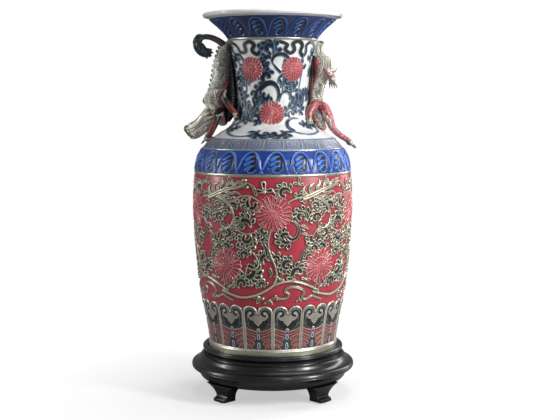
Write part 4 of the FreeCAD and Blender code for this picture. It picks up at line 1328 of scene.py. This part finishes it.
def paw(leg, nails, root, ahead, across, look):
    """A palm with four knuckled toes on the leg, each ending in a nail."""
    root, ahead, across = np.array(root, float), unit(ahead), unit(across)
    lift = np.cross(across, ahead)
    lift = lift if lift[2] >= 0 else -lift
    palm = [(*(root - ahead * 9), 0.75), (*(root - ahead * 4), 1.05), (*(root + ahead * 0.5), 0.85)]
    tube(leg, palm, 6.2, look, cell=0.7, dorsal=lift)
    for place in (-1.5, -0.5, 0.5, 1.5):
        way = ahead + across * (0.22 * place)
        base = root + across * (3.4 * place)
        toe = [(*(base - way * 5), 0.8), (*(base - way * 1 + lift * 1.4), 1.15), (*(base + way * 2), 0.8),
               (*(base + way * 4.5 - [0, 0, 0.5]), 0.85)]
        tube(leg, toe, 2.8, ribbed(SILVER, TARNISH, 2.4, 0.4, 0.5), cell=0.6, dorsal=lift)
        nail = [(*(base + way * (12.6 * step) - [0, 0, 3.0 * step * step]), share)
                for step, share in ((0.12, 1.0), (0.45, 0.85), (0.75, 0.5), (1.0, 0.12))]
        tube(nails, nail, 2.3, smooth(NAIL, COAL, 0.15), cell=0.5, dorsal=lift, aside=0.7)


def crest(name, node, back, count, height=6.5, lean=4.0, sink=6.0):
    """Flame-shaped spines along the back, leaning towards the tail."""
    skin = Skin()
    line = spline([(x, 0.0, z, 1.0) for x, z in back])
    outward = 1 if back[0][0] > 0 else -1
    ridge_line = [(x - outward * 3.0, 0.0, z, 1.0) for x, _, z, _ in line[::8]]
    tube(skin, ridge_line, 2.6, ribbed(SILVER, TARNISH, 3.0, 0.5, 0.6), dorsal=(outward, 0, 0), cell=0.7)
    for number in range(count):
        x, _, z, _ = line[int((number + 0.5) / count * (len(line) - 1))]
        tall = height * (0.75 + 0.25 * math.sin(math.pi * (number + 0.5) / count))
        fin = [(x - outward * sink, 0, z - lean * 0.8, 1.3), (x - outward * 1.5, 0, z - lean * 0.5, 1.1),
               (x + outward * (tall - 3.5), 0, z + lean * 0.2, 0.7),
               (x + outward * (tall - 2.6), 0, z + lean, 0.15)]
        tube(skin, fin, 3.4, strands(SILVER, TARNISH, 6, 0.5, 0.1), dorsal=(0, 0, 1), cell=0.6, aside=0.45)
    skin.piece(name, node, "silvered_porcelain")


def lock(skin, path, girth, light=SILVER, dark=TARNISH):
    """One flat lock of mane."""
    tube(skin, path, girth, strands(light, dark, 5, 0.6, 0.06), cell=0.7, aside=0.7)


PAW_HIDE = hide(SILVER, TARNISH, row=3, around=14, lift=0.6)
HAIR_LIGHT, HAIR_DARK = MIDNIGHT * 2.2, MIDNIGHT * 0.35


# ------------------------------------------------------------------ the two dragons


def descending_torso():
    """The torso, the dragon's own neck, a dark web standing for the shade between the torso and the vase's
    neck, the shoulders and the mane.
    """
    silver_hide = hide(PALE_SILVER * 1.15, TARNISH * 0.5, ROSE, around=30, row=4.4, lift=1.5,
                       belly_half=0.62, metal=0.45)
    torso = Skin()
    path = [(-90, 0, 738, 0.34), (-99, 0, 720, 0.60), (-104, 0, 695, 0.76), (-107, 0, 660, 0.84),
            (-113, 0, 628, 0.98), (-112, 0, 602, 0.84), (-104, 0, 575, 0.42)]
    tube(torso, path, 24, flank(silver_hide), cell=0.68, dorsal=(-1, 0, 0), aside=0.84, swell=[
        (-125, 0, 622, 13, 4.0), (-112, -18, 632, 14, 3.0), (-112, 18, 632, 14, 3.0),
        (-106, -16, 690, 16, 2.0), (-106, 16, 690, 16, 2.0), (-118, -14, 606, 9, -2.5),
        (-118, 14, 606, 9, -2.5),
    ])
    tube(torso, [(-112, 0, 598, 1.0), (-124, 0, 598, 0.85), (-134, 0, 592, 0.8), (-142, 0, 586, 0.7)], 14,
         hide(SILVER, TARNISH, row=3.8, around=22, lift=1.0), cell=0.75, dorsal=(0, 0, 1))
    # painted shade: a dark web put where there is only shade between the torso and the vase's neck
    tube(torso, [(-89, 0, 726, 0.4), (-88, 0, 700, 0.72), (-85, 0, 662, 0.85), (-85, 0, 628, 1.2),
                 (-88, 0, 600, 1.2), (-94, 0, 580, 0.6)], 10,
         ribbed(COAL * 1.5, COAL * 0.5, 6.0, 0.8, 0.1), cell=1.3)
    for y in (-1, 1):
        tube(torso, [(-108, 13 * y, 640, 0.9), (-124, 15 * y, 637, 1.1), (-136, 12 * y, 624, 1.0),
                     (-133, 13 * y, 611, 0.8), (-122, 18 * y, 604, 0.8)], 7.4,
             ribbed(PALE_SILVER, TARNISH * 0.6, 3.6, 0.9, 0.5), cell=0.7, dorsal=(-1, 0, 0))
        tube(torso, [(-136, 11 * y, 627, 0.8), (-141, 10 * y, 620, 1.0), (-137, 10 * y, 612, 0.7)], 5.6,
             smooth(ROSE_DARK, RUST, 0.1), cell=0.7)
        for number in range(4):
            low = 628 - 7 * number
            lock(torso, [(-117 + 2 * number, 19 * y, low, 0.9), (-123 + 2 * number, 21 * y, low + 8, 1.1),
                         (-124 + 2 * number, 19 * y, low + 20, 0.2)], 2.6)
    torso.piece("descending_torso_skin", "descending_torso", "silvered_porcelain")


def descending_tail():
    tail = Skin()
    rust_part = hide(RUST * 1.5, RUST * 0.4, row=3.4, around=14, lift=0.9, metal=0.3)
    dark_part = hide(TAUPE * 0.5, COAL, row=3.4, around=14, lift=0.9, metal=0.5)
    tube(tail, [(-80, 0, 708, 0.9), (-88, 0, 720, 1.05), (-99, 0, 733, 1.05), (-113, 0, 744, 0.95),
                (-130, 0, 751.5, 0.85), (-145, 0, 752, 0.8), (-154, 0, 745, 0.75)], 6.5,
         two_tone(rust_part, dark_part, 20, 60), cell=0.65, dorsal=(0, 0, 1))
    tail.piece("descending_tail_skin", "descending_tail", "red_porcelain")


def descending_tuft():
    tuft = Skin()
    hair = strands(HAIR_LIGHT, HAIR_DARK, 9, 1.5, 0.04, 0.15)
    tube(tuft, [(-151, 0, 749, 0.45), (-156.5, 0, 739, 0.82), (-151, 0, 728, 1.0), (-142, 0, 719, 0.78),
                (-128, 0, 713, 0.12)], 10.5, hair, cell=0.65, dorsal=(-1, 0, 0), aside=0.8)
    for x, y, z in ((-124, 4, 720), (-130, -6, 710), (-137, 6, 707), (-126, -3, 727)):
        tube(tuft, [(-152, y * 0.8, 738, 0.6), (-149, y * 1.4, 726, 1.0),
                    (0.6 * x - 58, y * 1.2, 0.5 * z + 361, 0.8), (x, y, z, 0.12)], 4.6, hair,
             cell=0.7, aside=0.7)
    tube(tuft, [(-146, 0, 752, 0.9), (-155, 0, 752, 1.0), (-163, 0, 742, 0.7), (-163, 0, 732, 0.15)], 4.6,
         hair, cell=0.7)
    tuft.piece("descending_tuft_skin", "descending_tuft", "blue_porcelain")


def descending_legs():
    forelegs, hindlegs, nails = Skin(), Skin(), Skin()
    red_hide = hide(ROSE * 0.75, ROSE_DARK * 0.6, row=3.4, around=14, lift=0.8, metal=0.2)
    dark_hide = hide(COAL * 2.5, COAL * 0.5, row=3.4, around=14, lift=0.8, metal=0.3)
    rust_hide = hide(RUST * 1.5, RUST * 0.4, row=3.4, around=14, lift=0.8, metal=0.2)
    forearm = two_tone(dark_hide, rust_hide, 24, 36)
    for y in (-1, 1):
        tube(forelegs, [(-110, 11 * y, 600, 1.1), (-116, 22 * y, 585, 1.0), (-123, 25 * y, 568, 0.82),
                        (-130, 24 * y, 554, 0.75), (-136, 22 * y, 544, 0.8)], 7.4, forearm, cell=0.7,
             dorsal=(-1, 0, 0))
        lock(forelegs, [(-117, 26 * y, 588, 0.9), (-109, 31 * y, 590, 1.0), (-101, 31 * y, 598, 0.15)], 2.6)
        paw(forelegs, nails, (-139, 21 * y, 540), (-0.75, 0, -0.55), (0, 1, 0), PAW_HIDE)
        tube(hindlegs, [(-104, 12 * y, 634, 1.1), (-99, 27 * y, 623, 1.05), (-88, 35 * y, 607, 0.9),
                        (-78, 38 * y, 595, 0.8)], 7.4, two_tone(dark_hide, rust_hide, 28, 40), cell=0.7,
             dorsal=(-1, 0, 0))
        lock(hindlegs, [(-97, 29 * y, 622, 0.9), (-100, 37 * y, 632, 1.0), (-95, 41 * y, 643, 0.15)], 2.8)
        paw(hindlegs, nails, (-76, 39 * y, 590), (0.25, 0.1 * y, -0.95), (0.5, -0.85 * y, 0), red_hide)
    forelegs.piece("descending_foreleg_skin", "descending_forelegs", "red_porcelain")
    hindlegs.piece("descending_hindleg_skin", "descending_hindlegs", "red_porcelain")
    nails.piece("descending_claw_skin", "descending_claws", "silvered_porcelain")


def make_descending_dragon():
    descending_torso()
    dragon_head("descending", Stance((-147, 0, 574), (-0.85, 0, -0.53), (-0.53, 0, 0.85), 0.98), 0.62)
    descending_tail()
    descending_tuft()
    back = [(-106, 738), (-113, 726), (-118, 706), (-122.5, 686), (-126, 666), (-131, 646), (-136, 628)]
    crest("descending_crest_skin", "descending_crest", back, 12)
    descending_legs()


def ascending_torso(pale_hide):
    """The torso, a dark web standing for the shade between the torso and the vase's neck, the mane and two
    red patches beside it.
    """
    torso = Skin()
    path = [(95, 0, 718, 0.42), (100, 0, 706, 0.85), (105, 0, 690, 1.0), (103, 0, 671, 0.86),
            (96, 0, 651, 0.70), (90, 0, 629, 0.74), (91, 0, 606, 0.9), (98, 0, 587, 0.85),
            (103, 0, 568, 0.45)]
    tube(torso, path, 17, pale_hide, cell=0.62, dorsal=(1, 0, 0), aside=0.88, swell=[
        (117, -6, 692, 13, 6.0), (117, 6, 692, 13, 6.0), (104, -15, 612, 11, 2.5), (104, 15, 612, 11, 2.5),
        (106, -12, 655, 9, -1.5), (106, 12, 655, 9, -1.5),
    ])
    # painted shade: a dark web put where there is only shade between the torso and the vase's neck
    tube(torso, [(87, 0, 712, 0.4), (84, 0, 692, 0.8), (81, 0, 660, 0.8), (78, 0, 628, 0.9),
                 (81, 0, 600, 1.1), (90, 0, 576, 0.7)], 8,
         ribbed(RUST * 0.45, COAL, 6.0, 0.3, 0.1), cell=1.3)
    for y in (-1, 1):
        for number in range(6):
            turn = number - 2.5
            strand = [(101 + 3.2 * number, 11 * y, 712 - abs(turn), 0.8),
                      (105 + 3.2 * number, 16.5 * y, 698, 1.25),
                      (101 + 4.0 * number, 17 * y, 684 - 1.5 * number, 1.0),
                      (96 + 5.4 * number, 14.5 * y, 670 - 2 * number, 0.15)]
            lock(torso, strand, 3.0, CREAM * 1.1, OLD_SILVER * 0.5)
        lock(torso, [(98, 11 * y, 660, 0.7), (104, 14 * y, 650, 1.2), (99, 15 * y, 634, 0.9),
                     (104, 13 * y, 620, 0.2)], 2.8, CREAM)
        tube(torso, [(90, 9 * y, 704, 0.9), (92, 12 * y, 697, 1.0), (90, 10 * y, 690, 0.8)], 4.2,
             smooth(CRIMSON_PETAL, ROSE_DARK, 0.1))
    torso.piece("ascending_torso_skin", "ascending_torso", "silvered_porcelain")


def ascending_tail(pale_hide):
    tail = Skin()
    tube(tail, [(101, 4, 580, 1.0), (109, 20, 566, 0.95), (104, 36, 561, 0.85), (91, 49, 563, 0.65)], 6.5,
         pale_hide, cell=0.65, dorsal=(0, 0, 1))
    tail.piece("ascending_tail_skin", "ascending_tail", "red_porcelain")


def ascending_tuft():
    tuft = Skin()
    tube(tuft, [(94, 46, 562, 0.4), (85, 54, 565, 0.7), (75, 60, 567, 0.65), (62, 67, 565, 0.15)], 10,
         strands(HAIR_LIGHT, HAIR_DARK, 9, 1.0, 0.04, 0.15), cell=0.65)
    tuft.piece("ascending_tuft_skin", "ascending_tuft", "blue_porcelain")


def ascending_forelegs(forelegs, nails, pale_hide, rose_hide):
    tube(forelegs, [(106, -9, 692, 1.1), (114, -15, 682, 1.05), (121, -17, 672, 0.82), (124, -17, 664, 0.8)],
         7.4, pale_hide, cell=0.65)
    tube(forelegs, [(118, -16.5, 677, 0.9), (123, -17, 669, 1.0), (124, -17, 665, 0.75)], 6.8, rose_hide,
         cell=0.65)
    lock(forelegs, [(121, -18, 680, 0.8), (130, -19, 680, 1.0), (135, -18, 688, 0.15)], 2.2)
    paw(forelegs, nails, (124, -17, 660), (0.25, 0, -0.97), (0.8, -0.5, 0), PAW_HIDE)
    tube(forelegs, [(104, 11, 691, 1.0), (97, 24, 686, 0.9), (87, 30, 682, 0.8), (78, 32, 680, 0.7)], 7.4,
         rose_hide, cell=0.65)
    paw(forelegs, nails, (76, 33, 679), (-0.3, 0.75, -0.6), (0.4, 0, 0.9), rose_hide)


def ascending_hindlegs(hindlegs, nails, rose_hide):
    tube(hindlegs, [(96, -6, 612, 1.3), (108, -11, 602, 1.55), (118, -13, 584, 1.25), (126, -13, 563, 0.95),
                    (141, -12, 548, 0.78), (155, -11, 539, 0.72), (161, -11, 534, 0.72)], 7.4, rose_hide,
         cell=0.65, dorsal=(1, 0, 0.3), swell=[(112, -20, 596, 10, 2.0)])
    for number in range(3):
        lock(hindlegs, [(104 + 5 * number, -18, 606 - 9 * number, 0.8),
                        (107 + 6 * number, -22, 596 - 9 * number, 1.2),
                        (111 + 7 * number, -20, 578 - 9 * number, 0.15)], 2.6, CREAM)
    paw(hindlegs, nails, (164, -11, 531), (0.8, 0, -0.6), (0.3, 1, 0), PAW_HIDE)
    tube(hindlegs, [(92, -8, 614, 1.2), (84, -23, 607, 1.15), (77, -32, 595, 0.95), (76, -37, 582, 0.8)],
         7.4, rose_hide, cell=0.65, dorsal=(1, 0, 0))
    paw(hindlegs, nails, (77, -39, 577), (0.4, -0.3, -0.85), (0.7, 0.7, 0), PAW_HIDE)


def make_ascending_dragon():
    pale_hide = hide(PALE_SILVER * 1.1, TARNISH * 0.6, ROSE * 1.2, row=3.6, around=24, lift=1.2,
                     belly_half=0.9, plate=4.0, metal=0.3)
    rose_hide = hide(ROSE * 1.15, ROSE_DARK, row=3.2, around=14, lift=0.6, metal=0.15)
    ascending_torso(pale_hide)
    dragon_head("ascending", Stance((98, 0, 727), (0.26, 0, 0.97), (0.97, 0, -0.26), 0.41), 0.4)
    ascending_tail(pale_hide)
    ascending_tuft()
    back = [(119, 706), (120.5, 690), (116, 671), (107, 650), (102.5, 630), (106, 608)]
    crest("ascending_crest_skin", "ascending_crest", back, 12, 5.5, 3.0, 5.0)
    forelegs, hindlegs, nails = Skin(), Skin(), Skin()
    ascending_forelegs(forelegs, nails, pale_hide, rose_hide)
    ascending_hindlegs(hindlegs, nails, rose_hide)
    forelegs.piece("ascending_foreleg_skin", "ascending_forelegs", "red_porcelain")
    hindlegs.piece("ascending_hindleg_skin", "ascending_hindlegs", "red_porcelain")
    nails.piece("ascending_claw_skin", "ascending_claws", "silvered_porcelain")


# ------------------------------------------------------------------ the stand


ARC_STEPS = 6


def rounded(rows):
    """Points of an outline, its corners (r, z, round) replaced by arcs of quadratic curves."""
    points = []
    count = len(rows)
    for number, (radius, height, bend) in enumerate(rows):
        here = np.array([radius, height], float)
        if bend <= 0:
            points.append(tuple(here))
            continue
        before = np.array(rows[number - 1][:2], float) - here
        after = np.array(rows[(number + 1) % count][:2], float) - here
        start = here + before * min(0.5, bend / np.linalg.norm(before))
        end = here + after * min(0.5, bend / np.linalg.norm(after))
        for t in np.linspace(0, 1, ARC_STEPS):
            points.append(tuple((1 - t) ** 2 * start + 2 * t * (1 - t) * here + t * t * end))
    return points


def make_stand():
    plinth = rounded([
        (0, 36.0, 0), (151, 36.0, 0.8), (154, 38.5, 1.5), (158, 46.5, 5), (164.8, 53.2, 2), (168.6, 55.0, 2),
        (172.2, 57.6, 2.5), (173, 62.0, 3), (172.2, 66.4, 2.5), (169.8, 68.8, 1.5), (163.4, 71.0, 1.5),
        (157.4, 75.4, 4), (154.4, 81.4, 2), (152.8, 83.6, 1), (150.2, 85.0, 1), (146, 85.0, 0),
        (146, 83.0, 0), (138.5, 83.0, 0), (138.5, 95.5, 0), (0, 95.5, 0),
    ])
    piece = lathe("plinth_turning", plinth, 320, LACQUER, "stand")
    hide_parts("stand_plinth")
    collar = rounded([
        (138.6, 83.1, 0.6), (145.9, 83.1, 0.8), (144.6, 86, 2), (145.2, 91.5, 3), (148.6, 95.5, 2.4),
        (149.5, 99.5, 2.4), (148.4, 103.4, 2.2), (144.5, 105.0, 1.6), (141.2, 104.8, 1.2),
        (139.2, 103.4, 1.0), (138.6, 101.5, 0.8),
    ])
    ring = lathe("collar_turning", collar, 320, LACQUER, "stand")
    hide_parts("stand_collar")
    for name in ("front_left", "front_right", "rear_left", "rear_right"):
        make_foot(f"stand_foot_{name}")


def make_foot(node):
    """The foot's own mesh, remeshed fine and smoothed so that its edges are softly rounded."""
    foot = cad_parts[node].copy()
    foot.data = foot.data.copy()
    foot.name = f"{node}_carving"
    foot.data.materials.clear()
    bpy.context.scene.collection.objects.link(foot)
    remesh = foot.modifiers.new("remesh", "REMESH")
    remesh.mode = "VOXEL"
    remesh.voxel_size = 0.0008
    soften = foot.modifiers.new("soften", "SMOOTH")
    soften.factor = 0.5
    soften.iterations = 6
    graph = bpy.context.evaluated_depsgraph_get()
    mesh = bpy.data.meshes.new_from_object(foot.evaluated_get(graph))
    foot.modifiers.clear()
    foot.data = mesh
    mesh.polygons.foreach_set("use_smooth", np.ones(len(mesh.polygons), bool))
    mesh.materials.clear()
    mesh.materials.append(LACQUER)
    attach(foot, "stand")
    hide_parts(node)


# ------------------------------------------------------------------ everything together


def finish_parts():
    """Glaze, wood and felt on the model's own parts that stay in view."""
    coats = {"foot_dowels": BEECH, "foot_felt_pads": FELT, "seat_felt": FELT}
    for name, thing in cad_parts.items():
        thing.data.materials.clear()
        thing.data.materials.append(coats.get(name, GLAZE if "shell" in name else LACQUER))


def main():
    make_vase()
    make_descending_dragon()
    make_ascending_dragon()
    make_stand()
    finish_parts()
    place_camera()
    light_studio()


# ------------------------------------------------------------------ camera, floor and light


def place_camera():
    camera = bpy.data.cameras.new("camera")
    camera.lens = 72.8
    camera.sensor_width = 36
    camera.clip_end = 50
    thing = placed("camera", camera)
    thing.location = (0.0145, -2.387, 0.627)
    thing.rotation_euler = (math.radians(90 - 5.7), 0, 0)
    bpy.context.scene.camera = thing


def area_light(name, place, target, size, power):
    light = bpy.data.lights.new(name, "AREA")
    light.shape = "RECTANGLE"
    light.size, light.size_y = size
    light.energy = power
    thing = placed(name, light)
    thing.location = place
    way = np.array(target) - np.array(place)
    tilt = math.atan2(math.hypot(way[0], way[1]), -way[2])
    thing.rotation_euler = (tilt, 0, math.atan2(way[0], -way[1]) + math.pi)


AMBIENT, MIRRORED = 0.07, 0.2


def light_studio():
    floor = bpy.data.meshes.new("floor")
    floor.from_pydata([(-9, -9, 0), (9, -9, 0), (9, 9, 0), (-9, 9, 0)], [], [(0, 1, 2, 3)])
    floor_thing = placed("floor", floor)
    floor.materials.append(floor_material())
    world = bpy.data.worlds.new("studio")
    bpy.context.scene.world = world
    world.use_nodes = True
    nodes, links = world.node_tree.nodes, world.node_tree.links
    seen = nodes.new("ShaderNodeLightPath")
    shader = nodes["Background"]
    shader.inputs["Color"].default_value = (0.92, 0.95, 1, 1)
    shader.inputs["Strength"].default_value = AMBIENT
    for ray, strength in (("Is Glossy Ray", MIRRORED), ("Is Camera Ray", 1.0)):
        backdrop = nodes.new("ShaderNodeBackground")
        backdrop.inputs["Color"].default_value = (1, 1, 1, 1)
        backdrop.inputs["Strength"].default_value = strength
        mix = nodes.new("ShaderNodeMixShader")
        links.new(seen.outputs[ray], mix.inputs["Fac"])
        links.new(shader.outputs[0], mix.inputs[1])
        links.new(backdrop.outputs["Background"], mix.inputs[2])
        shader = mix
    links.new(shader.outputs[0], nodes["World Output"].inputs["Surface"])
    area_light("key", (2.0, -1.2, 1.3), (0, 0, 0.45), (0.4, 1.2), 66)
    area_light("front", (1.0, -2.6, 1.7), (0, 0, 0.45), (0.4, 0.8), 15)
    area_light("left", (-2.2, -0.15, 1.0), (0, 0, 0.45), (0.3, 1.3), 22)
    area_light("rim", (1.4, 1.1, 1.0), (0, 0, 0.5), (0.4, 1.4), 12)
    area_light("top", (0.3, 0.3, 2.6), (0, 0, 0.3), (1.6, 1.6), 30)
    bpy.context.scene.view_settings.view_transform = "Standard"


main()
bpy.context.view_layer.update()
